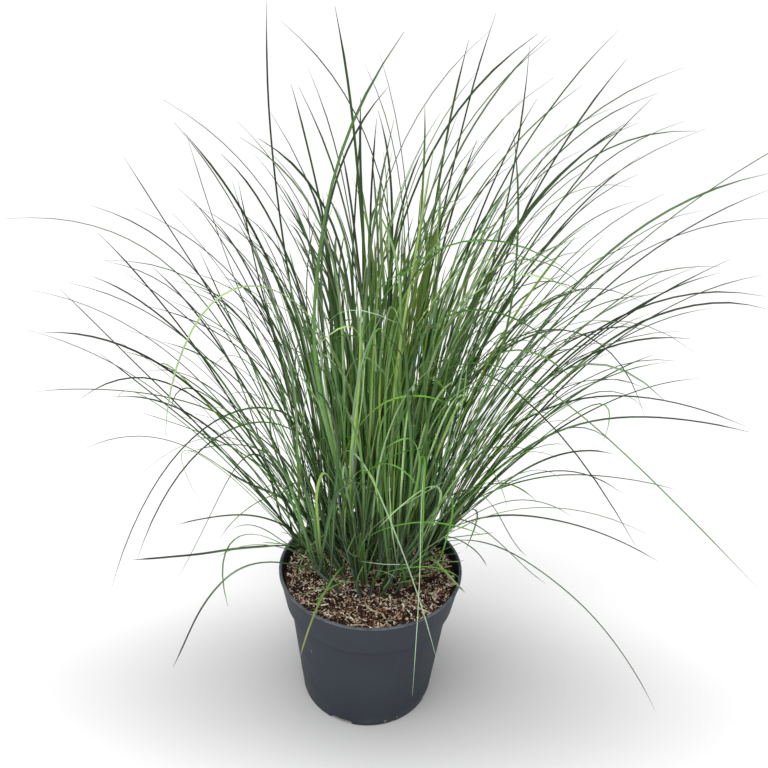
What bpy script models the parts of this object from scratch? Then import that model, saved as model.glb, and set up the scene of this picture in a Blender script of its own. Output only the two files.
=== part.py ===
"""Potted ornamental grass clump: nursery pot, potting soil and leafy shoots, as closed solids.

Metres, +Z up. The origin is the middle of the pot's underside, on the surface that it stands on.
"""

import math
from dataclasses import dataclass, replace

import bmesh
import bpy
import numpy as np
from mathutils import Matrix, Vector
from mathutils.bvhtree import BVHTree

# Pot: a moulded nursery pot with a deep plain band under its lip
POT_HEIGHT = 0.1544
POT_RIM_RADIUS = 0.095
POT_WALL = 0.0020
LIP_HEIGHT = 0.0030
LIP_DEPTH = 0.0010
LIP_ROUND = 0.0008
BAND_HEIGHT = 0.0355
BAND_FOOT_RADIUS = 0.0885
BAND_STEP = 0.0040
BODY_TOP_RADIUS = 0.0835
BASE_RADIUS = 0.071
BASE_ROUND = 0.0015
POT_FLOOR = 0.0070
FLOOR_CORNER = 0.0040
POT_SIDES = 36

# Underside: feet round the edge, parted by wide drain channels and narrow slots in turn
CHANNEL_COUNT = 4
CHANNEL_ANGLE = math.radians(-111)
CHANNEL_WIDTH = 0.0240
CHANNEL_HEIGHT = 0.0050
CHANNEL_INNER_RADIUS = 0.046
SLOT_WIDTH = 0.0040
SLOT_HEIGHT = 0.0024
SLOT_INNER_RADIUS = 0.058
HOLE_DIAMETER = 0.0110
HOLE_CENTRE_RADIUS = 0.054
HOLE_SIDES = 10

# Soil: fills the pot to just under the lip
SOIL_GAP = 0.0007
SOIL_HEIGHT = 0.1455
SOIL_SIDES = 24
SOIL_RING_RADII = (0.028, 0.054, 0.076)
SOIL_LUMP = 0.0014
SOIL_EDGE_DROP = 0.0016
SOCKET_DEPTH = 0.0060
SOCKET_GAP = 0.0004
SOCKET_TOP = 0.0120

# Crown: the shoots stand in a spiral that opens outwards
CROWN_CENTRE = np.array([-0.002, 0.010])
CROWN_RADIUS = 0.056
SHOOT_COUNT = 46
LEAVES_PER_SHOOT = 5
# Shoots on the near side, set by hand: x and y in metres, lean and its azimuth in degrees
PLACED_SHOOTS = {
    10: (0.0115, -0.0120, 12, 305),
    23: (0.0135, -0.0260, 20, 305),
    28: (0.0005, -0.0345, 13, 5),
    31: (0.0265, -0.0330, 20, 325),
    36: (-0.0095, -0.0390, 15, 175),
    39: (0.0360, -0.0225, 24, 340),
    44: (0.0120, -0.0390, 22, 315),
}
GOLDEN_ANGLE = math.radians(137.508)
LEAN_MIDDLE = math.radians(2.0)
LEAN_EDGE = math.radians(38.0)
COLLARS_MIDDLE = (0.055, 0.110)
COLLARS_EDGE = (0.034, 0.062)
LEAF_FOOT = 0.008
SHEATH_WIDTH = 0.0066
SHEATH_THICKNESS = 0.0032
SHEATH_TOP_SHARE = 0.72

# Leaf blades
LEAF_WIDTH = 0.0036
LEAF_KEEL = 0.0011
CHORD_ERROR = 0.0024
STIFFNESS = 0.62
CHOSEN_BLEND = 0.9
RULE_BLEND = 0.75
SLOT_SPLAY = 0.10
SLOT_SIDES = (-1, 1, -1, 1, 0)
REACH_UPRIGHT = 0.53
REACH_LOSS = 0.15
LOWEST_LEAF = 0.020
HIGHEST_LEAF = 0.675
OVER_SOIL = 0.0050
OVER_RIM = 0.0025
LEAF_CLEARANCE = 0.0039
SHEATH_CLEARANCE = 0.0052
OWN_SHEATH_CLEARANCE = 0.0036
# How far along its first stretch a blade is clear of its neighbours on the same sheath, and by how much
PARTINGS = ((0.15, 0.0028), (0.40, 0.0036))
MOST_TRIES = 220
SEED = 7


@dataclass(frozen=True)
class Tip:
    """Where a leaf chosen by hand ends, in metres; its angles are in degrees from straight up."""

    x: float
    y: float
    z: float
    end: float
    start: float = None
    rise: float = None
    hang: float = None
    heading: float = None
    shoot: int = None


LEFT = (
    Tip(-0.315, 0.000, 0.500, 96, start=18, rise=0.17, hang=0.16),
    Tip(-0.160, -0.050, 0.600, 61), Tip(-0.185, 0.100, 0.560, 15),
    Tip(-0.190, 0.050, 0.560, 46), Tip(-0.160, -0.030, 0.535, 46), Tip(-0.190, 0.120, 0.500, 45),
    Tip(-0.135, 0.050, 0.530, 15), Tip(-0.150, 0.150, 0.515, 12), Tip(-0.135, -0.100, 0.515, 20),
    Tip(-0.295, -0.020, 0.445, 80), Tip(-0.290, 0.020, 0.435, 42), Tip(-0.275, 0.060, 0.435, 75),
    Tip(-0.190, -0.080, 0.480, 51), Tip(-0.230, 0.100, 0.435, 56), Tip(-0.155, -0.120, 0.510, 40),
    Tip(-0.235, -0.050, 0.425, 45), Tip(-0.280, -0.040, 0.415, 90), Tip(-0.285, 0.120, 0.335, 90),
    Tip(-0.335, 0.030, 0.325, 100, start=22), Tip(-0.260, 0.100, 0.270, 82, start=42),
    Tip(-0.135, -0.120, 0.440, 29), Tip(-0.140, -0.100, 0.405, 50),
)
LEFT_DROOPING = (
    Tip(-0.150, -0.150, 0.380, 172, start=2, rise=0.27, hang=0.16),
    Tip(-0.255, -0.050, 0.145, 162, start=14, rise=0.18, hang=0.22),
    Tip(-0.195, -0.120, 0.245, 158, start=12, rise=0.15, hang=0.16),
    Tip(-0.240, -0.020, 0.165, 88, start=84), Tip(-0.205, 0.020, 0.180, 113, start=36),
    Tip(-0.225, 0.050, 0.075, 152, start=28, rise=0.12, hang=0.18),
    Tip(-0.135, -0.080, 0.240, 141, start=20), Tip(-0.120, -0.100, 0.265, 94, start=64),
    Tip(-0.180, 0.080, 0.200, 70, start=60), Tip(-0.160, -0.160, 0.170, 146, start=52, rise=0.12),
)
STANDING = (
    Tip(-0.095, 0.020, 0.670, 4, heading=0), Tip(-0.100, 0.050, 0.660, 53, heading=180),
    Tip(-0.015, -0.080, 0.665, 34, heading=0), Tip(-0.045, 0.050, 0.670, 12, heading=180),
    Tip(-0.085, 0.080, 0.610, 17, heading=180), Tip(-0.035, -0.050, 0.615, 27, heading=180),
    Tip(-0.005, 0.100, 0.610, 43, heading=0), Tip(-0.025, 0.120, 0.600, 0, heading=0),
    Tip(-0.010, 0.150, 0.580, 5, heading=0), Tip(0.005, -0.080, 0.595, 11, heading=0),
    Tip(0.065, 0.100, 0.590, 30), Tip(0.075, 0.000, 0.655, 49, heading=0),
    Tip(0.085, 0.050, 0.670, 15, heading=0), Tip(0.075, 0.100, 0.660, 10, heading=0),
    Tip(0.115, 0.020, 0.655, 54), Tip(0.130, 0.060, 0.655, 50), Tip(0.115, -0.030, 0.650, 52),
    Tip(0.095, -0.050, 0.645, 4, heading=180), Tip(0.140, 0.120, 0.605, 41),
    Tip(0.080, -0.100, 0.595, 16, heading=180),
)
RIGHT = (
    Tip(0.150, 0.000, 0.620, 52), Tip(0.190, 0.030, 0.640, 36), Tip(0.180, -0.020, 0.630, 45),
    Tip(0.225, 0.000, 0.635, 70), Tip(0.230, 0.060, 0.615, 72), Tip(0.185, -0.060, 0.615, 40),
    Tip(0.205, 0.100, 0.600, 72), Tip(0.225, 0.080, 0.590, 69), Tip(0.180, -0.040, 0.585, 67),
    Tip(0.250, 0.040, 0.595, 72), Tip(0.245, 0.000, 0.590, 90), Tip(0.230, -0.050, 0.595, 66),
    Tip(0.240, 0.100, 0.560, 58), Tip(0.165, -0.100, 0.585, 43), Tip(0.250, 0.120, 0.515, 79),
    Tip(0.120, -0.120, 0.575, 22),
    Tip(0.310, 0.000, 0.560, 75), Tip(0.340, 0.050, 0.540, 68), Tip(0.305, -0.030, 0.530, 85),
    Tip(0.265, -0.050, 0.495, 86), Tip(0.350, 0.020, 0.440, 104), Tip(0.300, -0.060, 0.475, 96),
    Tip(0.320, 0.000, 0.470, 75), Tip(0.335, 0.070, 0.445, 76), Tip(0.330, 0.080, 0.420, 84),
    Tip(0.240, -0.080, 0.445, 87), Tip(0.270, 0.050, 0.380, 67), Tip(0.250, -0.030, 0.405, 76),
    Tip(0.310, 0.030, 0.365, 86), Tip(0.350, 0.000, 0.330, 110, start=22, rise=0.18),
    Tip(0.320, -0.060, 0.355, 98, start=26, rise=0.16),
)
RIGHT_DROOPING = (
    Tip(0.210, -0.100, 0.385, 156, start=8, rise=0.24, hang=0.14),
    Tip(0.160, -0.120, 0.430, 123), Tip(0.135, -0.150, 0.500, 118, start=14),
    Tip(0.225, -0.080, 0.450, 110), Tip(0.305, -0.150, 0.265, 128, start=2, rise=0.27, hang=0.20),
    Tip(0.230, 0.000, 0.295, 105), Tip(0.305, 0.020, 0.230, 110, start=38), Tip(0.205, -0.100, 0.315, 116),
    Tip(0.315, 0.030, 0.145, 121, start=46), Tip(0.235, -0.180, 0.160, 144, start=42, rise=0.10, hang=0.10),
    Tip(0.205, 0.060, 0.085, 126, start=60, rise=0.07), Tip(0.180, 0.000, 0.135, 130, start=56, rise=0.07),
    Tip(0.135, -0.100, 0.305, 113),
)
FRONT = (
    Tip(0.060, -0.150, 0.170, 152, start=-10, rise=0.20, hang=0.16, shoot=36),
    Tip(0.040, -0.150, 0.135, 174, start=0, rise=0.20, hang=0.20, shoot=31),
    Tip(-0.060, -0.120, 0.145, 152, start=24), Tip(-0.058, -0.046, 0.162, 172, start=20),
    Tip(0.035, -0.080, 0.220, 92, start=40), Tip(0.088, -0.020, 0.166, 104, start=50),
    Tip(-0.012, -0.100, 0.410, 165, start=-4, shoot=23), Tip(0.055, -0.120, 0.405, 112, start=6),
    Tip(0.015, -0.100, 0.455, 108, start=2),
)
CHOSEN_TIPS = LEFT + LEFT_DROOPING + STANDING + RIGHT + RIGHT_DROOPING + FRONT


def direction(angle, azimuth):
    """Unit vector at an angle from straight up, towards an azimuth."""
    flat = math.sin(angle)
    return np.array([flat * math.cos(azimuth), flat * math.sin(azimuth), math.cos(angle)])


def unit(vector):
    return vector / np.linalg.norm(vector)


def azimuth_of(vector):
    return math.atan2(vector[1], vector[0])


@dataclass
class Leaf:
    """One blade: its tip, and how it sets off and ends. Angles are in radians from straight up."""

    tip: np.ndarray
    end: float
    start: float = None
    rise: float = None
    hang: float = None
    heading: float = None
    sway: float = 0.0
    chosen: bool = False

    def directions(self, base):
        """The ways that the blade leaves a base and arrives at its tip."""
        out = self.tip - base
        end_way = direction(self.end, azimuth_of(out) if self.heading is None else self.heading)
        if self.start is not None:
            return direction(self.start, azimuth_of(out)), end_way
        return unit((1 + STIFFNESS) * unit(out) - STIFFNESS * end_way), end_way

    def path(self, base, start_way, shares):
        """Points along the blade, on one cubic curve from its base to its tip."""
        end_way = self.directions(base)[1]
        out = self.tip - base
        length = np.linalg.norm(out)
        bend = math.acos(np.clip(start_way @ end_way, -0.999, 0.9999))
        handle = length * (2 / 3) * math.tan(bend / 4) / math.sin(bend / 2)
        rise = handle if self.rise is None else self.rise
        hang = handle if self.hang is None else self.hang
        across = np.array([-math.sin(azimuth_of(out)), math.cos(azimuth_of(out)), 0.0])
        second = base + start_way * rise
        third = self.tip - end_way * hang + across * self.sway * length
        t = np.asarray(shares)[:, None]
        return ((1 - t) ** 3 * base + 3 * t * (1 - t) ** 2 * second
                + 3 * t * t * (1 - t) * third + t ** 3 * self.tip)


class Shoot:
    """A flat leafy shoot: where it stands on the crown, how it leans and which leaves it carries."""

    def __init__(self, index):
        share = math.sqrt((index + 0.5) / SHOOT_COUNT)
        self.index = index
        self.azimuth = index * GOLDEN_ANGLE
        self.lean = LEAN_MIDDLE + (LEAN_EDGE - LEAN_MIDDLE) * share ** 1.3
        place = CROWN_CENTRE + CROWN_RADIUS * share * direction(math.pi / 2, self.azimuth)[:2]
        if index in PLACED_SHOOTS:
            x, y, lean, azimuth = PLACED_SHOOTS[index]
            place = (x, y)
            self.lean = math.radians(lean)
            self.azimuth = math.radians(azimuth)
        self.base = np.array([*place, SOIL_HEIGHT])
        self.axis = direction(self.lean, self.azimuth)
        self.edge_share = share
        self.side = np.array([-math.sin(self.azimuth), math.cos(self.azimuth), 0.0])
        self.outward = np.cross(self.side, self.axis)
        self.collars = [middle + (edge - middle) * share ** 1.5
                        for middle, edge in zip(COLLARS_MIDDLE, COLLARS_EDGE)]
        self.leaves = []
        self.blades = []

    def leaf_base(self, slot):
        """Where the leaf of a slot leaves the sheath: two low, two higher, and one at the top."""
        if SLOT_SIDES[slot] == 0:
            return self.base + self.axis * self.collars[1]
        height = self.collars[0 if slot < 2 else 1] - LEAF_FOOT / 2
        half = self.half_width(height) * SLOT_SIDES[slot]
        return self.base + self.axis * height + self.side * half

    def half_width(self, height):
        """Half the sheath's width at a height along it."""
        share = max(height, 0) / self.collars[1]
        return SHEATH_WIDTH / 2 * (1 + (SHEATH_TOP_SHARE - 1) * share)

    def start_way(self, base, leaf, slot):
        """The way a leaf sets off, between its own and the shoot's."""
        share = RULE_BLEND if leaf.start is None else CHOSEN_BLEND
        own = leaf.directions(base)[0]
        return unit(own * share + self.axis * (1 - share) + self.side * SLOT_SIDES[slot] * SLOT_SPLAY)

    def cost_of(self, leaf):
        """How badly a leaf would suit this shoot."""
        own = leaf.directions(self.base + self.axis * self.collars[1])[0]
        outward = leaf.tip[:2] - CROWN_CENTRE
        place = self.base[:2] - CROWN_CENTRE
        turned = 1 - math.cos(math.atan2(place[1], place[0]) - math.atan2(outward[1], outward[0]))
        reach = min(np.hypot(*outward) / (REACH_UPRIGHT / 3), 1)
        crowding = 0.04 * len(self.leaves)
        usual = self.axis[:2] * 0.4 + place / CROWN_RADIUS * math.sin(LEAN_EDGE) * 0.6
        return np.linalg.norm(own[:2] - usual) + crowding + 0.3 * turned * self.edge_share * reach

    def order_leaves(self):
        """Puts each leaf in the slot on its own side, the lower slot for the one that leans more."""
        across = sorted(self.leaves, key=lambda leaf: (leaf.tip - self.base) @ self.side)

        def by_lean(pair):
            return sorted(pair, key=lambda leaf: leaf.directions(self.base)[0] @ self.axis)

        left, middle, right = by_lean(across[:2]), across[2], by_lean(across[3:])
        self.leaves = [left[0], right[0], left[1], right[1], middle]


def ruled_leaf(shoot, rng):
    """A leaf that fills the clump between the chosen ones."""
    azimuth = shoot.azimuth + rng.uniform(-0.75, 0.75)
    lean = shoot.lean * rng.uniform(0.45, 1.25) + math.radians(rng.uniform(0, 12))
    reach = (REACH_UPRIGHT - REACH_LOSS * math.sin(lean)) * rng.uniform(0.68, 1.0)
    bend = math.radians(rng.uniform(8, 38)) + lean * rng.uniform(0.2, 0.9)
    crown = np.array([*CROWN_CENTRE, SOIL_HEIGHT])
    return Leaf(crown + reach * direction(lean, azimuth), lean + bend, sway=rng.uniform(-0.09, 0.09))


def chosen_leaf(tip):
    """The leaf of a tip chosen by hand."""
    def radians(value):
        return None if value is None else math.radians(value)

    return Leaf(np.array([tip.x, tip.y, tip.z]), radians(tip.end), radians(tip.start), tip.rise, tip.hang,
                radians(tip.heading), 0.0, True)


def segment_gaps(a0, a1, b0, b1):
    """Least distances between each segment a and each segment b, as a table."""
    a0, a1, b0, b1 = a0[:, None], a1[:, None], b0[None], b1[None]
    along_a, along_b, between = a1 - a0, b1 - b0, a0 - b0
    a = (along_a * along_a).sum(-1)
    e = (along_b * along_b).sum(-1)
    f = (along_b * between).sum(-1)
    c = (along_a * between).sum(-1)
    b = (along_a * along_b).sum(-1)
    area = a * e - b * b
    crossing = area > 1e-14
    s = np.where(crossing, np.clip((b * f - c * e) / np.where(crossing, area, 1), 0, 1), 0)
    t = np.clip((b * s + f) / e, 0, 1)
    s = np.clip((b * t - c) / a, 0, 1)
    gap = between + s[..., None] * along_a - t[..., None] * along_b
    return np.sqrt((gap * gap).sum(-1))


def meets_pot(points):
    """Whether a blade dips into the pot, the soil or the ground."""
    shares = np.linspace(0, 1, 9)[:, None, None]
    along = (points[:-1] * (1 - shares) + points[1:] * shares).reshape(-1, 3)
    radius = np.hypot(along[:, 0], along[:, 1])
    lowest = np.where(radius < POT_RIM_RADIUS - 0.012, SOIL_HEIGHT + OVER_SOIL,
                      np.where(radius < POT_RIM_RADIUS + OVER_SOIL, POT_HEIGHT + OVER_RIM, LOWEST_LEAF))
    return bool((along[:, 2] < lowest).any())


class Thicket:
    """The stretches of sheath and blade that are already placed, for keeping new blades clear of them."""

    def __init__(self, shoots):
        self.starts = np.array([shoot.base - shoot.axis * SOCKET_DEPTH for shoot in shoots])
        self.ends = np.array([shoot.base + shoot.axis * shoot.collars[1] for shoot in shoots])
        self.owners = np.arange(len(shoots))
        self.steps = np.full(len(shoots), -1)

    def room(self, owner, points):
        """The least spare distance round a blade's stretches; below 0 it is too near something."""
        gaps = segment_gaps(points[:-1], points[1:], self.starts, self.ends)
        gaps -= np.where(self.steps < 0, SHEATH_CLEARANCE, LEAF_CLEARANCE)
        near = (self.owners == owner) & (self.steps <= 0)
        gaps[0, near] = 1.0
        first = self.steps[near] == 0
        for share, clearance in PARTINGS:
            parted = points[:1] + share * (points[1:2] - points[:1])
            starts = self.starts[near] + share * first[:, None] * (self.ends - self.starts)[near]
            own_gaps = segment_gaps(parted, points[1:2], starts, self.ends[near])[0]
            needed = np.where(first, clearance, OWN_SHEATH_CLEARANCE)
            gaps[0, near] = np.minimum(gaps[0, near], own_gaps - needed)
        return -1.0 if meets_pot(points) or points[:, 2].max() > HIGHEST_LEAF else gaps.min()

    def add(self, owner, points):
        self.starts = np.concatenate([self.starts, points[:-1]])
        self.ends = np.concatenate([self.ends, points[1:]])
        self.owners = np.concatenate([self.owners, np.full(len(points) - 1, owner)])
        self.steps = np.concatenate([self.steps, np.arange(len(points) - 1)])


@dataclass
class Blade:
    """A leaf in its place: the slot it grows from and the points of its path."""

    slot: int
    leaf: Leaf
    points: np.ndarray


def stretch_count(length, start_way, end_way):
    """How many straight stretches keep a blade near its curve."""
    bend = math.acos(np.clip(start_way @ end_way, -1, 1))
    return min(max(math.ceil(math.sqrt(length * bend / (8 * CHORD_ERROR))), 3), 7)


def laid_blade(shoot, slot, leaf):
    base = shoot.leaf_base(slot)
    way = shoot.start_way(base, leaf, slot)
    length = np.linalg.norm(leaf.tip - base)
    count = stretch_count(length, way, leaf.directions(base)[1])
    return Blade(slot, leaf, leaf.path(base, way, np.linspace(0, 1, count + 1)))


def nudged(leaf, attempt, rng):
    """The leaf moved a little, further with each attempt."""
    if leaf.chosen:
        spread = 0.007 * (1 + attempt / 25)
        turn = math.radians(1 + attempt / 15)
    else:
        spread = 0.012 * (1 + attempt / 40)
        turn = math.radians(6)
    return replace(leaf, tip=leaf.tip + rng.normal(size=3) * spread, end=leaf.end + rng.uniform(-1, 1) * turn)


def grown_shoots():
    """Every shoot with its blades laid clear of one another."""
    rng = np.random.default_rng(SEED)
    shoots = [Shoot(index) for index in range(SHOOT_COUNT)]
    for tip in sorted(CHOSEN_TIPS, key=lambda tip: tip.shoot is None):
        leaf = chosen_leaf(tip)
        free = [shoot for shoot in shoots if len(shoot.leaves) < LEAVES_PER_SHOOT]
        suited = shoots[tip.shoot] if tip.shoot else min(free, key=lambda shoot: shoot.cost_of(leaf))
        suited.leaves.append(leaf)
    for shoot in shoots:
        while len(shoot.leaves) < LEAVES_PER_SHOOT:
            shoot.leaves.append(ruled_leaf(shoot, rng))
        shoot.order_leaves()
    thicket = Thicket(shoots)
    places = [(shoot, slot) for shoot in shoots for slot in range(LEAVES_PER_SHOOT)]

    def rank(place):
        leaf = place[0].leaves[place[1]]
        return (not leaf.chosen, leaf.rise is None)

    for shoot, slot in sorted(places, key=rank):
        wanted = shoot.leaves[slot]
        for attempt in range(MOST_TRIES):
            if not wanted.chosen and attempt % 40 == 39:
                wanted = ruled_leaf(shoot, rng)
            blade = laid_blade(shoot, slot, nudged(wanted, attempt, rng) if attempt else wanted)
            if thicket.room(shoot.index, blade.points) > 0 and not crosses_itself(shoot, blade):
                thicket.add(shoot.index, blade.points)
                shoot.blades.append(blade)
                break
    return shoots


@dataclass(frozen=True)
class Finish:
    """Plain colour and surface of a material."""

    name: str
    colour: tuple
    roughness: float


POT_PLASTIC = Finish("pot_plastic", (0.052, 0.059, 0.072), 0.62)
POTTING_MIX = Finish("potting_mix", (0.075, 0.045, 0.026), 0.95)
GRASS_GREEN = Finish("grass_green", (0.105, 0.205, 0.050), 0.55)
DRY_STRAW = Finish("dry_straw", (0.520, 0.400, 0.230), 0.75)


def principled(finish):
    """A Principled material of a finish."""
    material = bpy.data.materials.new(finish.name)
    material.use_nodes = True
    shader = material.node_tree.nodes["Principled BSDF"]
    shader.inputs["Base Color"].default_value = (*finish.colour, 1)
    shader.inputs["Roughness"].default_value = finish.roughness
    shader.inputs["Metallic"].default_value = 0.0
    material.diffuse_color = (*finish.colour, 1)
    return material


def clear_scene():
    for obj in list(bpy.data.objects):
        bpy.data.objects.remove(obj)


def add_collection(name):
    collection = bpy.data.collections.new(name)
    bpy.context.scene.collection.children.link(collection)
    return collection


def add_object(name, bm, collection, material, smooth_angle=None):
    """A new mesh object from a bmesh, which it frees."""
    bmesh.ops.recalc_face_normals(bm, faces=bm.faces)
    if bm.calc_volume(signed=True) < 0:
        bmesh.ops.reverse_faces(bm, faces=bm.faces)
    mesh = bpy.data.meshes.new(name)
    bm.to_mesh(mesh)
    bm.free()
    if smooth_angle is not None:
        mesh.shade_smooth()
        mesh.set_sharp_from_angle(angle=smooth_angle)
    obj = bpy.data.objects.new(name, mesh)
    collection.objects.link(obj)
    if material:
        mesh.materials.append(material)
    return obj


def add_cutter(name, bm, collection):
    """A hidden object for a Boolean to cut with."""
    cutter = add_object(name, bm, collection, None)
    cutter.hide_render = True
    cutter.display_type = "WIRE"
    return cutter


def cut(obj, cutter):
    modifier = obj.modifiers.new(cutter.name, "BOOLEAN")
    modifier.operation = "DIFFERENCE"
    modifier.solver = "EXACT"
    modifier.object = cutter


def lathed(profile, sides):
    """A closed bmesh from a profile of radius and height that starts and ends on the axis."""
    bm = bmesh.new()
    rings = []
    for radius, height in profile:
        if radius == 0:
            rings.append([bm.verts.new((0, 0, height))])
            continue
        turns = [math.tau * step / sides for step in range(sides)]
        rings.append([bm.verts.new((radius * math.cos(turn), radius * math.sin(turn), height))
                      for turn in turns])
    for upper, lower in zip(rings, rings[1:]):
        for step in range(sides):
            after = (step + 1) % sides
            corners = [upper[step % len(upper)], upper[after % len(upper)],
                       lower[after % len(lower)], lower[step % len(lower)]]
            bm.faces.new(list(dict.fromkeys(corners)))
    return bm


def add_box(bm, size, matrix):
    """Adds a box of a size, placed by a matrix."""
    bmesh.ops.create_cube(bm, size=1, matrix=matrix @ Matrix.Diagonal((*size, 1)))


def pot_profile():
    """Radius and height from the middle of the pot's floor, over the lip, to the middle of its underside."""
    band_foot = POT_HEIGHT - BAND_HEIGHT
    body_top = band_foot - BAND_STEP
    lip_foot = POT_HEIGHT - LIP_HEIGHT
    neck_radius = POT_RIM_RADIUS - LIP_DEPTH
    return (
        (0, POT_FLOOR),
        (BASE_RADIUS - POT_WALL - FLOOR_CORNER, POT_FLOOR),
        (BASE_RADIUS - POT_WALL + 0.0004, POT_FLOOR + FLOOR_CORNER),
        (BODY_TOP_RADIUS - POT_WALL, body_top),
        (BAND_FOOT_RADIUS - POT_WALL, band_foot),
        (neck_radius - POT_WALL, POT_HEIGHT - LIP_ROUND),
        (neck_radius - POT_WALL + LIP_ROUND, POT_HEIGHT),
        (POT_RIM_RADIUS - LIP_ROUND, POT_HEIGHT),
        (POT_RIM_RADIUS, POT_HEIGHT - LIP_ROUND),
        (POT_RIM_RADIUS, lip_foot),
        (neck_radius, lip_foot - LIP_ROUND),
        (BAND_FOOT_RADIUS, band_foot),
        (BODY_TOP_RADIUS, body_top),
        (BASE_RADIUS, BASE_ROUND),
        (BASE_RADIUS - BASE_ROUND, 0),
        (0, 0),
    )


def build_pot(cutters):
    """The pot, with drain channels and slots between its feet and a hole at each channel's inner end."""
    pot = add_object("pot", lathed(pot_profile(), POT_SIDES), add_collection("pot"),
                     principled(POT_PLASTIC), math.radians(30))
    channels = bmesh.new()
    holes = bmesh.new()
    over = 0.004
    for step in range(2 * CHANNEL_COUNT):
        wide = step % 2 == 0
        width, height, inner = ((CHANNEL_WIDTH, CHANNEL_HEIGHT, CHANNEL_INNER_RADIUS) if wide
                                else (SLOT_WIDTH, SLOT_HEIGHT, SLOT_INNER_RADIUS))
        turned = Matrix.Rotation(CHANNEL_ANGLE + math.pi / CHANNEL_COUNT * step, 4, "Z")
        length = BASE_RADIUS + over - inner
        middle = Matrix.Translation((inner + length / 2, 0, (height - over) / 2))
        add_box(channels, (length, width, height + over), turned @ middle)
        if wide:
            bmesh.ops.create_cone(
                holes, cap_ends=True, segments=HOLE_SIDES, radius1=HOLE_DIAMETER / 2,
                radius2=HOLE_DIAMETER / 2, depth=POT_FLOOR * 3,
                matrix=turned @ Matrix.Translation((HOLE_CENTRE_RADIUS, 0, POT_FLOOR / 2)))
    cut(pot, add_cutter("pot_channels", channels, cutters))
    cut(pot, add_cutter("pot_holes", holes, cutters))
    return pot


def soil_lump(x, y):
    """Height of the soil's uneven top over its level."""
    waves = (math.sin(97 * x + 61 * y + 0.6) + math.sin(-71 * x + 113 * y + 2.1)
             + 0.6 * math.sin(173 * x - 149 * y + 4.0))
    edge = min(math.hypot(x, y) / (POT_RIM_RADIUS - POT_WALL), 1) ** 6
    return SOIL_LUMP * waves / 2.6 - SOIL_EDGE_DROP * edge


def soil_wall_radius(height):
    """The soil's outer radius at a height: the pot's inside less the gap."""
    inside = [(z, radius) for radius, z in pot_profile()[1:6]]
    return float(np.interp(height, *zip(*inside))) - SOIL_GAP


def build_soil(shoots, cutters):
    """The soil, with an uneven top and a socket for each shoot."""
    band_foot = POT_HEIGHT - BAND_HEIGHT
    floor = POT_FLOOR + SOIL_GAP
    sides = ((BASE_RADIUS - POT_WALL - FLOOR_CORNER - SOIL_GAP, floor),
             (soil_wall_radius(POT_FLOOR + FLOOR_CORNER), POT_FLOOR + FLOOR_CORNER),
             (soil_wall_radius(band_foot - BAND_STEP), band_foot - BAND_STEP + SOIL_GAP / 2),
             (soil_wall_radius(band_foot), band_foot + SOIL_GAP / 2))
    rim = soil_wall_radius(SOIL_HEIGHT)
    profile = ([(0, floor), *sides, (rim, SOIL_HEIGHT)]
               + [(radius, SOIL_HEIGHT) for radius in reversed(SOIL_RING_RADII)] + [(0, SOIL_HEIGHT)])
    bm = lathed(profile, SOIL_SIDES)
    for vert in bm.verts:
        if vert.co.z > SOIL_HEIGHT - 1e-6:
            vert.co.z += soil_lump(vert.co.x, vert.co.y)
            radius = math.hypot(vert.co.x, vert.co.y)
            if radius > SOIL_RING_RADII[-1] + SOIL_GAP:
                vert.co.xy *= soil_wall_radius(vert.co.z) / radius
    soil = add_object("potting_soil", bm, add_collection("potting_soil"), principled(POTTING_MIX),
                      math.radians(40))
    sockets = bmesh.new()
    for shoot in shoots:
        width = SHEATH_WIDTH * 1.04 + 2 * SOCKET_GAP
        thickness = SHEATH_THICKNESS * 1.04 + 2 * SOCKET_GAP
        depth = SOCKET_DEPTH + SOCKET_GAP
        frame = Matrix((Vector(shoot.side), Vector(shoot.outward), Vector(shoot.axis))).transposed().to_4x4()
        middle = shoot.base + shoot.axis * (SOCKET_TOP - depth) / 2
        add_box(sockets, (width, thickness, SOCKET_TOP + depth), Matrix.Translation(middle) @ frame)
    cut(soil, add_cutter("soil_sockets", sockets, cutters))
    return soil


def sheath_ring(bm, shoot, height):
    """Four corners round the sheath: left and right on its inner side, then right and left on its outer."""
    wide = shoot.side * shoot.half_width(height)
    thick = shoot.outward * shoot.half_width(height) * SHEATH_THICKNESS / SHEATH_WIDTH
    middle = shoot.base + shoot.axis * height
    return [bm.verts.new(middle + corner)
            for corner in (-wide - thick, wide - thick, wide + thick, -wide + thick)]


def blade_sections(blade):
    """Left, right and keel points of each section of a blade, and its tip."""
    points = blade.points
    count = len(points) - 1
    across = unit(np.cross(points[-1] - points[0], direction(0, 0)))
    sections = []
    for step in range(1, count):
        way = unit(points[step + 1] - points[step - 1])
        flat = unit(across - (across @ way) * way)
        under = np.cross(way, flat)
        share = step / count
        half = LEAF_WIDTH / 2 * (1 - share ** 3 * 0.7)
        deep = LEAF_KEEL * (1 - share * 0.4)
        sections.append((points[step] - flat * half - under * deep / 3,
                         points[step] + flat * half - under * deep / 3,
                         points[step] + under * deep * 2 / 3))
    return sections, points[-1]


def turned_foot(foot, section):
    """The foot's corners, started where the blade has least to twist."""
    left, right, keel = section
    across, down = unit(right - left), unit(keel - (left + right) / 2)

    def fit(turn):
        corners = [np.array(foot[(turn + step) % 4].co) for step in range(4)]
        edge = unit(corners[1] - corners[0])
        return edge @ across + unit(corners[2] - corners[1]) @ down

    best = max(range(4), key=fit)
    return [foot[(best + step) % 4] for step in range(4)]


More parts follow.
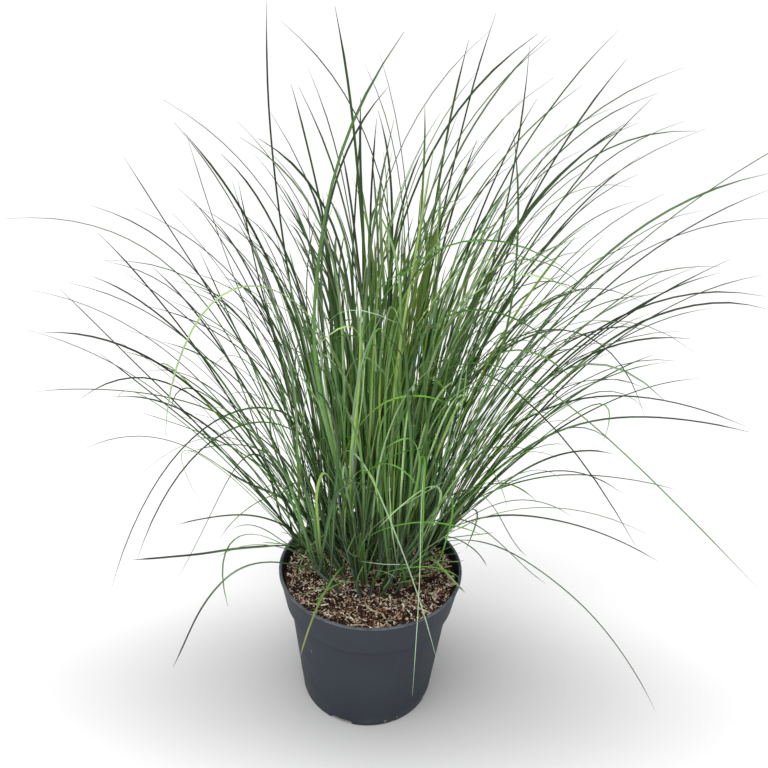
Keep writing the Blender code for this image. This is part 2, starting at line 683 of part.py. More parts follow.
def add_side(bm, corners):
    """A four-cornered side as two triangles that bulge outwards, from corners anticlockwise seen from outside."""
    a, b, c, d = (corner.co for corner in corners)
    if (b - a).cross(c - a).dot(d - a) < 0:
        pairs = ((0, 1, 2), (0, 2, 3))
    else:
        pairs = ((0, 1, 3), (1, 2, 3))
    for trio in pairs:
        bm.faces.new([corners[index] for index in trio])


def add_blade(bm, blade, foot):
    """Draws a blade out of a face of the sheath, in sections with a keel below, to its tip."""
    sections, tip = blade_sections(blade)
    left, right, under_right, under_left = turned_foot(foot, sections[0])
    first = [bm.verts.new(point) for point in sections[0]]
    add_side(bm, (left, right, first[1], first[0]))
    add_side(bm, (right, under_right, first[2], first[1]))
    add_side(bm, (under_left, left, first[0], first[2]))
    bm.faces.new((under_right, under_left, first[2]))
    for points in sections[1:]:
        after = [bm.verts.new(point) for point in points]
        for here, there in ((0, 1), (1, 2), (2, 0)):
            add_side(bm, (first[here], first[there], after[there], after[here]))
        first = after
    end = bm.verts.new(tip)
    for here, there in ((0, 1), (1, 2), (2, 0)):
        bm.faces.new((first[here], first[there], end))


def shoot_mesh(shoot, blades):
    """A flat sheath with some blades drawn out of it, as one closed bmesh."""
    bm = bmesh.new()
    low, high = shoot.collars
    heights = (-SOCKET_DEPTH, low - LEAF_FOOT, low, high - LEAF_FOOT, high)
    rings = [sheath_ring(bm, shoot, height) for height in heights]
    bm.faces.new(rings[0])
    # The corners of each blade's face of the sheath, anticlockwise as seen from outside
    feet = {
        0: (rings[2][3], rings[2][0], rings[1][0], rings[1][3]),
        1: (rings[2][1], rings[2][2], rings[1][2], rings[1][1]),
        2: (rings[4][3], rings[4][0], rings[3][0], rings[3][3]),
        3: (rings[4][1], rings[4][2], rings[3][2], rings[3][1]),
        4: (rings[4][0], rings[4][3], rings[4][2], rings[4][1]),
    }
    grown = {blade.slot: blade for blade in blades}
    for band in range(4):
        for here, there in ((0, 1), (1, 2), (2, 3), (3, 0)):
            foot_slot = {(1, 3): 0, (1, 1): 1, (3, 3): 2, (3, 1): 3}.get((band, here))
            if foot_slot not in grown:
                lower, upper = rings[band], rings[band + 1]
                bm.faces.new((lower[here], lower[there], upper[there], upper[here]))
    if 4 not in grown:
        bm.faces.new(rings[4])
    for slot, blade in grown.items():
        add_blade(bm, blade, feet[slot])
    return bm


def crosses_itself(shoot, blade):
    """Whether a new blade would cut through its own sheath or another blade on it."""
    bm = shoot_mesh(shoot, [*shoot.blades, blade])
    bm.verts.index_update()
    bm.faces.ensure_lookup_table()
    tree = BVHTree.FromBMesh(bm)
    corners = [set(vert.index for vert in face.verts) for face in bm.faces]
    crossed = any(not corners[a] & corners[b] for a, b in tree.overlap(tree))
    bm.free()
    return crossed


def build_shoot(shoot, material):
    name = f"shoot_{shoot.index + 1:02d}"
    return add_object(name, shoot_mesh(shoot, shoot.blades), add_collection(name), material,
                      math.radians(50))


@dataclass(frozen=True)
class Straw:
    """A dead leaf that lies on the soil: its path over it in metres, and its width."""

    name: str
    path: tuple
    width: float


STRAWS = (
    Straw("dry_leaf_01", ((-0.0035, -0.0465), (-0.0045, -0.0530), (-0.0010, -0.0590),
                          (0.0060, -0.0625), (0.0130, -0.0640)), 0.0014),
    Straw("dry_leaf_02", ((0.0080, -0.0655), (0.0130, -0.0690), (0.0165, -0.0740)), 0.0016),
)


def build_straw(straw, material):
    """A dead leaf as a flat strip that tapers to both ends."""
    bm = bmesh.new()
    height = SOIL_HEIGHT + SOIL_LUMP + 0.0006
    path = np.array(straw.path)
    last = len(path) - 1
    ways = np.gradient(path, axis=0)
    rings = []
    for step, (place, way) in enumerate(zip(path, ways)):
        across = np.array([-way[1], way[0]]) / np.linalg.norm(way)
        half = straw.width / 2 * (1 - 0.5 * abs(2 * step / last - 1) ** 3)
        corners = ((place - across * half, 0), (place + across * half, 0), (place, straw.width / 2))
        rings.append([bm.verts.new((*corner, height + up)) for corner, up in corners])
    bm.faces.new(rings[0])
    bm.faces.new(rings[-1])
    for here, there in zip(rings, rings[1:]):
        for side in range(3):
            after = (side + 1) % 3
            bm.faces.new((here[side], here[after], there[after], there[side]))
    return add_object(straw.name, bm, add_collection(straw.name), material)


def main():
    clear_scene()
    cutters = add_collection("cutters")
    cutters.hide_render = True
    shoots = grown_shoots()
    build_pot(cutters)
    build_soil(shoots, cutters)
    grass = principled(GRASS_GREEN)
    for shoot in shoots:
        build_shoot(shoot, grass)
    straw_colour = principled(DRY_STRAW)
    for straw in STRAWS:
        build_straw(straw, straw_colour)


if __name__ == "__main__":
    main()
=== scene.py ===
"""Looks of a potted ornamental grass clump: nursery pot, potting mix, leafy shoots and dead leaves.

Metres, +Z up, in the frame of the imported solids. Every shoot is drawn again, finer, along its own solid.
"""

import logging
import math
from collections.abc import Callable
from dataclasses import dataclass, field, replace
from enum import Enum

import bpy
import numpy as np
from bpy.types import Material, Node, NodeSocket, NodeTree, Object
from mathutils import Matrix, Vector
from mathutils.kdtree import KDTree


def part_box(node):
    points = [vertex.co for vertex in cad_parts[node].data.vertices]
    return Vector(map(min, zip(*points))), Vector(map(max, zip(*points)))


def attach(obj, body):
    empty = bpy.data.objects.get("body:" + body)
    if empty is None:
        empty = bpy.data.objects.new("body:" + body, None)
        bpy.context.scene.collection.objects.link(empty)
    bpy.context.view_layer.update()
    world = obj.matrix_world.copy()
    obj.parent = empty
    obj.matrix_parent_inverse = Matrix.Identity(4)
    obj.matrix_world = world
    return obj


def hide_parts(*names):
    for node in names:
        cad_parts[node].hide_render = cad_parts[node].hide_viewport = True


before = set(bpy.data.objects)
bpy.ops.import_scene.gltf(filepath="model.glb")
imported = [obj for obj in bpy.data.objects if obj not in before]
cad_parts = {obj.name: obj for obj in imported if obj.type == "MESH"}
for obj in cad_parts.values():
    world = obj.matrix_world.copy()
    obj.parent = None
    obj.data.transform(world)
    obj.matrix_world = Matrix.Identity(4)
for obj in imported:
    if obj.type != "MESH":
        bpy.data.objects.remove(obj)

LOG = logging.getLogger("grass_clump")
BODY = "root"
UP = np.array([0.0, 0.0, 1.0])
LEAF_MAP = "leaf"
SIDES = 8


def unit(vectors: np.ndarray) -> np.ndarray:
    """Scale a vector, or each row of a table of them, to length one."""
    return vectors / np.linalg.norm(vectors, axis=-1, keepdims=True)


def eased(values: np.ndarray, low: float, high: float) -> np.ndarray:
    """Rise smoothly from 0 at low to 1 at high."""
    share = np.clip((np.asarray(values, float) - low) / (high - low), 0, 1)
    return share * share * (3 - 2 * share)


def dot(first: np.ndarray, second: np.ndarray) -> np.ndarray:
    """Row by row product of two tables of vectors, as a column."""
    return (first * second).sum(-1, keepdims=True)


class NodeBoard:
    """Places and joins the nodes of one material or node group."""

    def __init__(self, tree: NodeTree) -> None:
        """Start on a node tree, and empty it."""
        self.tree = tree
        tree.nodes.clear()

    def add(self, kind: str, **settings: object) -> Node:
        """Add a node.

        Args:
            kind: Blender's name for the node's type.
            **settings: Properties to set on it.

        Returns:
            The new node.
        """
        node = self.tree.nodes.new(kind)
        for name, value in settings.items():
            setattr(node, name, value)
        return node

    def feed(self, socket: NodeSocket, value: object) -> None:
        """Link a socket to another one, or set its own value.

        Args:
            socket: The input to feed.
            value: An output socket, a number or a colour.
        """
        if isinstance(value, NodeSocket):
            self.tree.links.new(value, socket)
        elif isinstance(value, tuple) and len(value) == 3 and socket.type == "RGBA":
            socket.default_value = (*value, 1.0)
        else:
            socket.default_value = value

    def math(self, operation: str, first: object, second: object = 0.0) -> NodeSocket:
        """Combine two numbers.

        Args:
            operation: Blender's name for the operation.
            first: First number or socket.
            second: Second number or socket.

        Returns:
            The result's socket.
        """
        node = self.add("ShaderNodeMath", operation=operation)
        self.feed(node.inputs[0], first)
        self.feed(node.inputs[1], second)
        return node.outputs[0]

    def ranged(self, value: object, low: float, high: float, start: float = 0.0,
               end: float = 1.0) -> NodeSocket:
        """Turn a number's passage from low to high into a smooth one from start to end.

        Args:
            value: Number or socket to follow.
            low: Where the passage starts.
            high: Where it ends.
            start: Result at or before low.
            end: Result at or after high.

        Returns:
            The result's socket.
        """
        node = self.add("ShaderNodeMapRange", interpolation_type="SMOOTHSTEP")
        for index, part in enumerate((value, low, high, start, end)):
            self.feed(node.inputs[index], part)
        return node.outputs[0]

    def mixed(self, share: object, first: object, second: object, mode: str = "MIX") -> NodeSocket:
        """Mix two colours.

        Args:
            share: How much of the second there is.
            first: First colour or socket.
            second: Second colour or socket.
            mode: Blender's name for the way of mixing.

        Returns:
            The mixed colour's socket.
        """
        node = self.add("ShaderNodeMix", data_type="RGBA", blend_type=mode)
        self.feed(node.inputs[0], share)
        self.feed(node.inputs[6], first)
        self.feed(node.inputs[7], second)
        return node.outputs[2]

    def noise(self, vector: object, scale: float, detail: float = 2.0,
              roughness: float = 0.5) -> NodeSocket:
        """Add soft noise.

        Args:
            vector: Where to read it.
            scale: How many waves there are to a unit.
            detail: How many finer layers are added.
            roughness: How strong those layers are.

        Returns:
            The noise's value, round 0.5.
        """
        node = self.add("ShaderNodeTexNoise")
        self.feed(node.inputs["Vector"], vector)
        node.inputs["Scale"].default_value = scale
        node.inputs["Detail"].default_value = detail
        node.inputs["Roughness"].default_value = roughness
        return node.outputs[0]

    def place(self) -> NodeSocket:
        """Give the Object coordinates, which are the part's own frame in metres."""
        return self.add("ShaderNodeTexCoord").outputs["Object"]

    def attribute(self, name: str) -> NodeSocket:
        """Give a number that the mesh holds at its points."""
        return self.add("ShaderNodeAttribute", attribute_name=name).outputs["Fac"]

    def times(self, first: object, *others: object) -> NodeSocket:
        """Multiply numbers or sockets.

        Args:
            first: The first of them.
            *others: What it is multiplied by.

        Returns:
            The product's socket.
        """
        for other in others:
            first = self.math("MULTIPLY", first, other)
        return first

    def swayed(self, value: object, noise: object, amount: float) -> NodeSocket:
        """Shift a number to and fro by a noise that lies round 0.5."""
        return self.math("ADD", value, self.times(self.math("SUBTRACT", noise, 0.5), amount))

    def vector(self, x: object, y: object, z: object) -> NodeSocket:
        """Join three numbers into a vector.

        Args:
            x: First number or socket.
            y: Second one.
            z: Third one.

        Returns:
            The vector's socket.
        """
        node = self.add("ShaderNodeCombineXYZ")
        for index, part in enumerate((x, y, z)):
            self.feed(node.inputs[index], part)
        return node.outputs[0]

    def vectors(self, operation: str, first: object, second: object = None) -> Node:
        """Combine two vectors.

        Args:
            operation: Blender's name for the operation.
            first: First vector or socket.
            second: Second one, where the operation takes it.

        Returns:
            The node, which gives a vector and a value.
        """
        node = self.add("ShaderNodeVectorMath", operation=operation)
        self.feed(node.inputs[0], first)
        if second is not None:
            self.feed(node.inputs[1], second)
        return node

    def parts(self, vector: object) -> list[NodeSocket]:
        """Split a vector into its three numbers.

        Args:
            vector: The vector's socket.

        Returns:
            The socket of each number.
        """
        node = self.add("ShaderNodeSeparateXYZ")
        self.feed(node.inputs[0], vector)
        return list(node.outputs)

    def bumped(self, height: object, strength: float, distance: float) -> NodeSocket:
        """Turn a height into a bumpy normal.

        Args:
            height: The height's socket.
            strength: How much of the bump shows.
            distance: Its depth in metres at a height of one.

        Returns:
            The normal's socket.
        """
        node = self.add("ShaderNodeBump")
        node.inputs["Strength"].default_value = strength
        node.inputs["Distance"].default_value = distance
        self.feed(node.inputs["Height"], height)
        return node.outputs[0]

    def grouped(self, tree: NodeTree, **values: object) -> Node:
        """Place a node group.

        Args:
            tree: The group's own tree.
            **values: Its inputs, by name.

        Returns:
            The group's node.
        """
        node = self.add("ShaderNodeGroup")
        node.node_tree = tree
        for name, value in values.items():
            self.feed(node.inputs[name], value)
        return node


def new_group(name: str, inputs: dict[str, str], outputs: dict[str, str]) -> tuple[NodeBoard, Node, Node]:
    """Start a shader node group.

    Args:
        name: The group's name.
        inputs: Socket types of its inputs, by name.
        outputs: Socket types of its outputs, by name.

    Returns:
        Its board, its input node and its output node.
    """
    tree = bpy.data.node_groups.new(name, "ShaderNodeTree")
    board = NodeBoard(tree)
    for sockets, way in ((inputs, "INPUT"), (outputs, "OUTPUT")):
        for label, kind in sockets.items():
            tree.interface.new_socket(label, in_out=way, socket_type=kind)
    return board, board.add("NodeGroupInput"), board.add("NodeGroupOutput")


def lengthwise_ribs() -> NodeTree:
    """Build the group for fine ribs that run along a leaf.

    Returns:
        A group that takes Across, Along, Count and Seed, and gives Ribs and Mottle.
    """
    seed_step = 53.0
    rib_waves = 1.6
    mottle_waves = (2.2, 14.0)
    board, given, result = new_group(
        "lengthwise_ribs", dict.fromkeys(("Across", "Along", "Count", "Seed"), "NodeSocketFloat"),
        dict.fromkeys(("Ribs", "Mottle"), "NodeSocketFloat"))
    across, along, count, seed = given.outputs[:4]
    shift = board.times(seed, seed_step)
    ribs = board.noise(board.vector(board.times(across, count), board.times(along, rib_waves), shift),
                       1.0, 3.0, 0.6)
    mottle = board.noise(board.vector(board.times(across, mottle_waves[0]),
                                      board.times(along, mottle_waves[1]), shift), 1.0, 4.0)
    board.feed(result.inputs["Ribs"], ribs)
    board.feed(result.inputs["Mottle"], mottle)
    return board.tree


def scattered_specks() -> NodeTree:
    """Build the group for sparse small specks.

    Returns:
        A group that takes Place, Scale and Share, and gives Mask.
    """
    least, more = 0.06, 0.16
    board, given, result = new_group(
        "scattered_specks",
        {"Place": "NodeSocketVector", "Scale": "NodeSocketFloat", "Share": "NodeSocketFloat"},
        {"Mask": "NodeSocketFloat"})
    cells = board.add("ShaderNodeTexVoronoi")
    board.feed(cells.inputs["Vector"], given.outputs["Place"])
    board.feed(cells.inputs["Scale"], given.outputs["Scale"])
    chance = board.parts(cells.outputs["Color"])
    wanted = board.math("LESS_THAN", chance[0], given.outputs["Share"])
    size = board.math("ADD", board.times(chance[1], more), least)
    spot = board.math("LESS_THAN", cells.outputs["Distance"], size)
    board.feed(result.inputs["Mask"], board.times(wanted, spot))
    return board.tree


def new_material(name: str) -> tuple[Material, NodeBoard, Node]:
    """Start a material with a Principled shader on its output.

    Args:
        name: The material's name.

    Returns:
        The material, its board and its shader.
    """
    material = bpy.data.materials.new(name)
    material.use_nodes = True
    board = NodeBoard(material.node_tree)
    shader = board.add("ShaderNodeBsdfPrincipled")
    output = board.add("ShaderNodeOutputMaterial")
    board.feed(output.inputs["Surface"], shader.outputs[0])
    return material, board, shader


@dataclass(frozen=True)
class LeafFinish:
    """Living grass: deep green with a pale midrib brightened as a painted highlight, glaucous at its foot,
    painted darker towards its foot as shade, and dull and dark towards its tip, partly from weathering and
    partly as painted shade; some leaves carry a pale tint that is partly a painted sheen.

    Reaches are shares of the leaf's length, and edges are shares of its width.
    """

    name: str = "grass_blade"
    deep: tuple = (0.009, 0.054, 0.001)
    middle: tuple = (0.105, 0.300, 0.022)
    bright: tuple = (0.500, 0.720, 0.320)
    young: tuple = (0.430, 0.600, 0.085)
    # Pale tint of some leaves: partly their own pale colour, partly a painted sheen.
    pale: tuple = (0.480, 0.620, 0.450)
    glaucous: tuple = (0.205, 0.300, 0.245)
    # Pale midrib colour: partly the midrib's own paleness, partly a painted highlight along it.
    midrib: tuple = (0.440, 0.600, 0.320)
    # Dark olive of the outer part and tip: partly weathering, partly painted shade.
    weathered_and_shaded: tuple = (0.020, 0.029, 0.016)
    dead: tuple = (0.420, 0.310, 0.150)
    deep_tones: tuple = (0.0, 0.6)
    bright_tones: tuple = (0.55, 1.0)
    bloom_reach: tuple = (0.00, 0.16)
    bloom_share: float = 0.9
    under_share: float = 0.10
    rib_count: float = 15.0
    rib_contrast: tuple = (0.50, 1.40)
    # Painted shade: how dark a leaf is painted at its foot, where the clump shades itself, and over what
    # reach it fades.
    foot_shade: float = 0.31
    foot_reach: tuple = (0.04, 0.50)
    midrib_edge: tuple = (0.035, 0.095)
    midrib_reach: tuple = (0.35, 0.97)
    midrib_end: float = 0.12
    midrib_shares: tuple = (0.28, 0.62)
    wear_and_shade_reaches: tuple = ((0.26, 0.72), (0.84, 1.00))
    wear_and_shade_sway: float = 0.22
    dry_from: tuple = (0.35, 0.80)
    dry_sway: float = 0.5
    speck_scale: float = 160.0
    speck_share: float = 0.05
    specular: float = 0.30
    roughness: tuple = (0.38, 0.58)
    relief: tuple = (0.35, 0.00025)

    def green(self, board: NodeBoard, tone: object, mottle: object, along: object,
              upper: object) -> NodeSocket:
        """Mix the leaf's own green, with its youth, its paleness and the bloom on its foot.

        Args:
            board: The material's board.
            tone: The leaf's own shade.
            mottle: Soft noise along it.
            along: How far along the leaf it is.
            upper: 1 on its upper face and 0 on its under face.

        Returns:
            The colour's socket.
        """
        colour = board.mixed(board.ranged(tone, *self.deep_tones), self.deep, self.middle)
        colour = board.mixed(board.ranged(tone, *self.bright_tones), colour, self.bright)
        fresh = board.times(board.attribute("leaf_youth"), board.ranged(mottle, 0.30, 0.70, 0.55, 1.0))
        colour = board.mixed(fresh, colour, self.young)
        # Pale tint: partly a real pale leaf colour, partly a painted sheen.
        colour = board.mixed(board.attribute("leaf_pale"), colour, self.pale)
        colour = board.mixed(board.ranged(mottle, 0.35, 0.75, 0.0, 0.35), colour, self.middle)
        rough_along = board.math("ADD", along, board.times(mottle, 0.06))
        foot = board.ranged(rough_along, *self.bloom_reach, self.bloom_share, 0.0)
        colour = board.mixed(board.times(foot, board.attribute("leaf_bloom")), colour, self.glaucous)
        return board.mixed(board.ranged(upper, 0.0, 1.0, self.under_share, 0.0), colour, self.glaucous)

    def ribbed(self, board: NodeBoard, colour: object, ribs: object, across: object, along: object,
               upper: object) -> NodeSocket:
        """Add the ribs, a painted shade that darkens the leaf towards its foot, and the pale midrib
        brightened as a painted highlight.

        Args:
            board: The material's board.
            colour: The colour so far.
            ribs: Noise that runs along the leaf.
            across: How far across the leaf it is.
            along: How far along the leaf it is.
            upper: 1 on its upper face and 0 on its under face.

        Returns:
            The colour's socket.
        """
        # Rib contrast, times a painted shade that darkens each leaf towards its foot.
        lines = board.times(board.ranged(ribs, 0.30, 0.70, *self.rib_contrast),
                            board.ranged(along, *self.foot_reach, self.foot_shade, 1.0))
        colour = board.mixed(1.0, colour, board.vector(lines, lines, lines), "MULTIPLY")
        off_middle = board.math("ABSOLUTE", board.math("SUBTRACT", across, 0.5))
        # Pale midrib on the upper face: partly its own paleness, partly a painted highlight along the rib.
        share = board.times(board.ranged(off_middle, *self.midrib_edge, 1.0, 0.0),
                            board.ranged(along, *self.midrib_reach, 1.0, self.midrib_end),
                            board.ranged(upper, 0.0, 1.0, *self.midrib_shares))
        return board.mixed(share, colour, self.midrib)

    def aged_and_shaded(self, board: NodeBoard, colour: object, mottle: object, along: object,
             specks: NodeTree) -> NodeSocket:
        """Add the darker outer part and tip, partly weathering and partly painted shade, dry stretches and a
        few specks.

        Args:
            board: The material's board.
            colour: The colour so far.
            mottle: Soft noise along the leaf.
            along: How far along the leaf it is.
            specks: The group for small specks.

        Returns:
            The colour's socket.
        """
        # Darker outer part and tip: partly weathering, partly painted shade on the outer leaves.
        worn_and_shaded = board.swayed(along, mottle, self.wear_and_shade_sway)
        wear_and_shade = board.attribute("leaf_wear_and_shade")
        for reach in self.wear_and_shade_reaches:
            colour = board.mixed(board.times(board.ranged(worn_and_shaded, *reach), wear_and_shade), colour, self.weathered_and_shaded)
        dying = board.swayed(board.attribute("leaf_dryness"), mottle, self.dry_sway)
        colour = board.mixed(board.ranged(dying, *self.dry_from), colour, self.dead)
        spots = board.grouped(specks, Place=board.place(), Scale=self.speck_scale, Share=self.speck_share)
        return board.mixed(board.times(spots.outputs["Mask"], 0.5), colour, self.dead)

    def build(self, ribs: NodeTree, specks: NodeTree) -> Material:
        """Make the material.

        Args:
            ribs: The group for lengthwise ribs.
            specks: The group for small specks.

        Returns:
            The finished material.
        """
        material, board, shader = new_material(self.name)
        across, along, _ = board.parts(board.add("ShaderNodeUVMap", uv_map=LEAF_MAP).outputs[0])
        tone = board.attribute("leaf_tone")
        upper = board.attribute("leaf_upper")
        grain = board.grouped(ribs, Across=across, Along=along, Count=self.rib_count, Seed=tone)
        mottle = grain.outputs["Mottle"]
        colour = self.green(board, tone, mottle, along, upper)
        colour = self.ribbed(board, colour, grain.outputs["Ribs"], across, along, upper)
        colour = self.aged_and_shaded(board, colour, mottle, along, specks)
        board.feed(shader.inputs["Base Color"], colour)
        shader.inputs["Specular IOR Level"].default_value = self.specular
        board.feed(shader.inputs["Roughness"], board.ranged(mottle, 0.25, 0.75, *self.roughness))
        board.feed(shader.inputs["Normal"], board.bumped(grain.outputs["Ribs"], *self.relief))
        return material


@dataclass(frozen=True)
class StrawFinish:
    """Dead leaf: pale tan with grey streaks and a few brown marks."""

    name: str = "dead_leaf"
    pale: tuple = (0.600, 0.480, 0.300)
    grey: tuple = (0.300, 0.240, 0.160)
    brown: tuple = (0.110, 0.060, 0.028)
    rib_count: float = 11.0
    seed: float = 0.4
    brown_share: float = 0.7
    roughness: tuple = (0.62, 0.82)
    relief: tuple = (0.5, 0.0003)

    def build(self, ribs: NodeTree) -> Material:
        """Make the material.

        Args:
            ribs: The group for lengthwise ribs.

        Returns:
            The finished material.
        """
        material, board, shader = new_material(self.name)
        across, along, _ = board.parts(board.add("ShaderNodeUVMap", uv_map=LEAF_MAP).outputs[0])
        grain = board.grouped(ribs, Across=across, Along=along, Count=self.rib_count, Seed=self.seed)
        mottle = grain.outputs["Mottle"]
        colour = board.mixed(board.ranged(grain.outputs["Ribs"], 0.35, 0.68), self.grey, self.pale)
        colour = board.mixed(board.ranged(mottle, 0.60, 0.74, 0.0, self.brown_share), colour, self.brown)
        board.feed(shader.inputs["Base Color"], colour)
        board.feed(shader.inputs["Roughness"], board.ranged(mottle, 0.3, 0.7, *self.roughness))
        board.feed(shader.inputs["Normal"], board.bumped(grain.outputs["Ribs"], *self.relief))
        return material


@dataclass(frozen=True)
class Mark:
    """A pale mark on the pot: its middle, and how far it reaches each way."""

    middle: tuple[float, float, float]
    reach: tuple[float, float, float]


@dataclass(frozen=True)
class PotFinish:
    """Moulded nursery-pot plastic: slate grey, dull, with handling marks, a few specks of dried mix, a
    painted shade under the band's step, and a lighter lip edge that is partly scuffs and partly a painted
    highlight.
    """

    name: str = "pot_plastic_dull"
    slate: tuple = (0.0125, 0.0180, 0.0275)
    faded: tuple = (0.0200, 0.0265, 0.0390)
    # Colour of the painted shade under the band's step.
    shaded: tuple = (0.004, 0.006, 0.009)
    # Lighter colour of the lip's top edge: partly scuffs, partly a painted highlight.
    lip: tuple = (0.120, 0.135, 0.155)
    dust: tuple = (0.260, 0.235, 0.200)
    speck: tuple = (0.480, 0.460, 0.430)
    cloud_scale: float = 22.0
    flow_scale: float = 130.0
    flow_stretch: tuple = (1.0, 1.0, 0.12)
    grain_scale: float = 2600.0
    step_depth: float = 0.012
    step_shade: float = 0.62
    lip_scuff_and_highlight_depth: float = 0.0012
    dust_height: float = 0.016
    dust_share: float = 0.16
    speck_scale: float = 105.0
    speck_share: float = 0.018
    speck_strength: float = 0.75
    mark_strength: float = 0.45
    marks: tuple = (Mark((-0.057, -0.061, 0.087), (0.0012, 0.0060, 0.0045)),
                    Mark((0.008, -0.071, 0.022), (0.0016, 0.0016, 0.0016)),
                    Mark((0.021, -0.068, 0.0045), (0.0020, 0.0020, 0.0020)),
                    Mark((0.0335, -0.063, 0.005), (0.0014, 0.0014, 0.0014)))
    specular: float = 0.35
    roughness: tuple = (0.50, 0.66)
    relief: tuple = (0.22, 0.00008)

    def marked(self, board: NodeBoard, colour: object, place: object, specks: NodeTree) -> NodeSocket:
        """Add the specks of dried mix and the larger marks.

        Args:
            board: The material's board.
            colour: The colour so far.
            place: The Object coordinates.
            specks: The group for small specks.

        Returns:
            The colour's socket.
        """
        spots = board.grouped(specks, Place=place, Scale=self.speck_scale, Share=self.speck_share)
        colour = board.mixed(board.times(spots.outputs["Mask"], self.speck_strength), colour, self.speck)
        for mark in self.marks:
            shifted = board.vectors("SUBTRACT", place, mark.middle).outputs[0]
            scaled = board.vectors("MULTIPLY", shifted, tuple(1 / part for part in mark.reach)).outputs[0]
            away = board.vectors("LENGTH", scaled).outputs["Value"]
            colour = board.mixed(board.ranged(away, 0.5, 1.0, self.mark_strength, 0.0), colour, self.speck)
        return colour

    def build(self, specks: NodeTree, lip_height: float, step_height: float) -> Material:
        """Make the material.

        Args:
            specks: The group for small specks.
            lip_height: Height of the lip's top edge, lightened by scuffs and a painted highlight.
            step_height: Height of the step under the band, where the painted shade under it is darkest.

        Returns:
            The finished material.
        """
        material, board, shader = new_material(self.name)
        place = board.place()
        height = board.parts(place)[2]
        cloudy = board.noise(place, self.cloud_scale, 4.0, 0.55)
        stretched = board.vectors("MULTIPLY", place, self.flow_stretch).outputs[0]
        flow = board.noise(stretched, self.flow_scale, 3.0)
        grain = board.noise(place, self.grain_scale, 2.0)
        colour = board.mixed(board.ranged(cloudy, 0.34, 0.68), self.slate, self.faded)
        colour = board.mixed(board.ranged(flow, 0.45, 0.75, 0.0, 0.25), colour, self.faded)
        # Painted shade: darker just under the band's step, fading downward over step_depth.
        painted_shade_under_step = board.times(
            board.ranged(height, step_height - self.step_depth, step_height, 0.0, self.step_shade),
            board.math("LESS_THAN", height, step_height))
        colour = board.mixed(painted_shade_under_step, colour, self.shaded)
        # Lighter lip edge: partly scuffs, partly a painted highlight.
        lip_scuff_and_highlight = board.times(board.ranged(height, lip_height - self.lip_scuff_and_highlight_depth, lip_height),
                             board.ranged(flow, 0.30, 0.60, 0.45, 1.0))
        colour = board.mixed(lip_scuff_and_highlight, colour, self.lip)
        settled = board.times(board.ranged(height, self.dust_height, 0.0, 0.0, self.dust_share),
                              board.ranged(cloudy, 0.42, 0.66))
        colour = board.mixed(settled, colour, self.dust)
        board.feed(shader.inputs["Base Color"], self.marked(board, colour, place, specks))
        shader.inputs["Specular IOR Level"].default_value = self.specular
        board.feed(shader.inputs["Roughness"], board.ranged(cloudy, 0.3, 0.7, *self.roughness))
        relief = board.math("ADD", grain, board.times(flow, 0.8))
        board.feed(shader.inputs["Normal"], board.bumped(relief, *self.relief))
        return material


class MixPart(Enum):
    """What a piece of the potting mix is made of; the value is its material's name."""

    PEAT = "potting_peat"
    CHIP = "potting_chips"
    FIBRE = "potting_fibres"


@dataclass(frozen=True)
class PottingFinish:
    """One part of the potting mix: a range of colours from dark to pale, with grain and bump."""

    part: MixPart
    colours: tuple
    grain_scale: float
    bump: float
    patch_scale: float = 420.0
    shades: tuple = (0.55, 1.28)
    specular: float = 0.2
    roughness: tuple = (0.78, 0.98)
    bump_depth: float = 0.0006

    def build(self) -> Material:
        """Make the material.

        Returns:
            The finished material.
        """
        material, board, shader = new_material(self.part.value)
        place = board.place()
        if self.part is MixPart.PEAT:
            chance = board.noise(place, self.patch_scale, 4.0, 0.65)
        else:
            chance = board.attribute("bit_tone")
        ramp = board.add("ShaderNodeValToRGB")
        board.feed(ramp.inputs[0], chance)
        stops = ramp.color_ramp.elements
        while len(stops) < len(self.colours):
            stops.new(0.5)
        for stop, (at, colour) in zip(stops, self.colours):
            stop.position = at
            stop.color = (*colour, 1.0)
        grain = board.noise(place, self.grain_scale, 4.0, 0.6)
        shade = board.ranged(grain, 0.28, 0.72, *self.shades)
        coloured = board.mixed(1.0, ramp.outputs[0], board.vector(shade, shade, shade), "MULTIPLY")
        board.feed(shader.inputs["Base Color"], coloured)
        shader.inputs["Specular IOR Level"].default_value = self.specular
        board.feed(shader.inputs["Roughness"], board.ranged(grain, 0.3, 0.7, *self.roughness))
        board.feed(shader.inputs["Normal"], board.bumped(grain, self.bump, self.bump_depth))
        return material


PEAT_COLOURS = ((0.30, (0.010, 0.005, 0.004)), (0.50, (0.030, 0.014, 0.010)), (0.62, (0.070, 0.033, 0.022)),
                (0.76, (0.170, 0.100, 0.062)))
CHIP_COLOURS = ((0.00, (0.080, 0.026, 0.014)), (0.30, (0.240, 0.105, 0.064)), (0.44, (0.520, 0.350, 0.230)),
                (0.64, (0.860, 0.700, 0.520)), (0.94, (1.000, 0.940, 0.820)), (1.00, (0.560, 0.520, 0.240)))
FIBRE_COLOURS = ((0.00, (0.140, 0.070, 0.038)), (0.40, (0.560, 0.400, 0.240)), (1.00, (0.950, 0.820, 0.580)))


def clear_choice() -> None:
    """Leave edit mode and deselect every object."""
    if bpy.context.object and bpy.context.object.mode != "OBJECT":
        bpy.ops.object.mode_set(mode="OBJECT")
    bpy.ops.object.select_all(action="DESELECT")


def choose(obj: Object) -> None:
    """Make one object the only one selected, and the active one.

    Args:
        obj: The object.
    """
    clear_choice()
    obj.select_set(True)
    bpy.context.view_layer.objects.active = obj


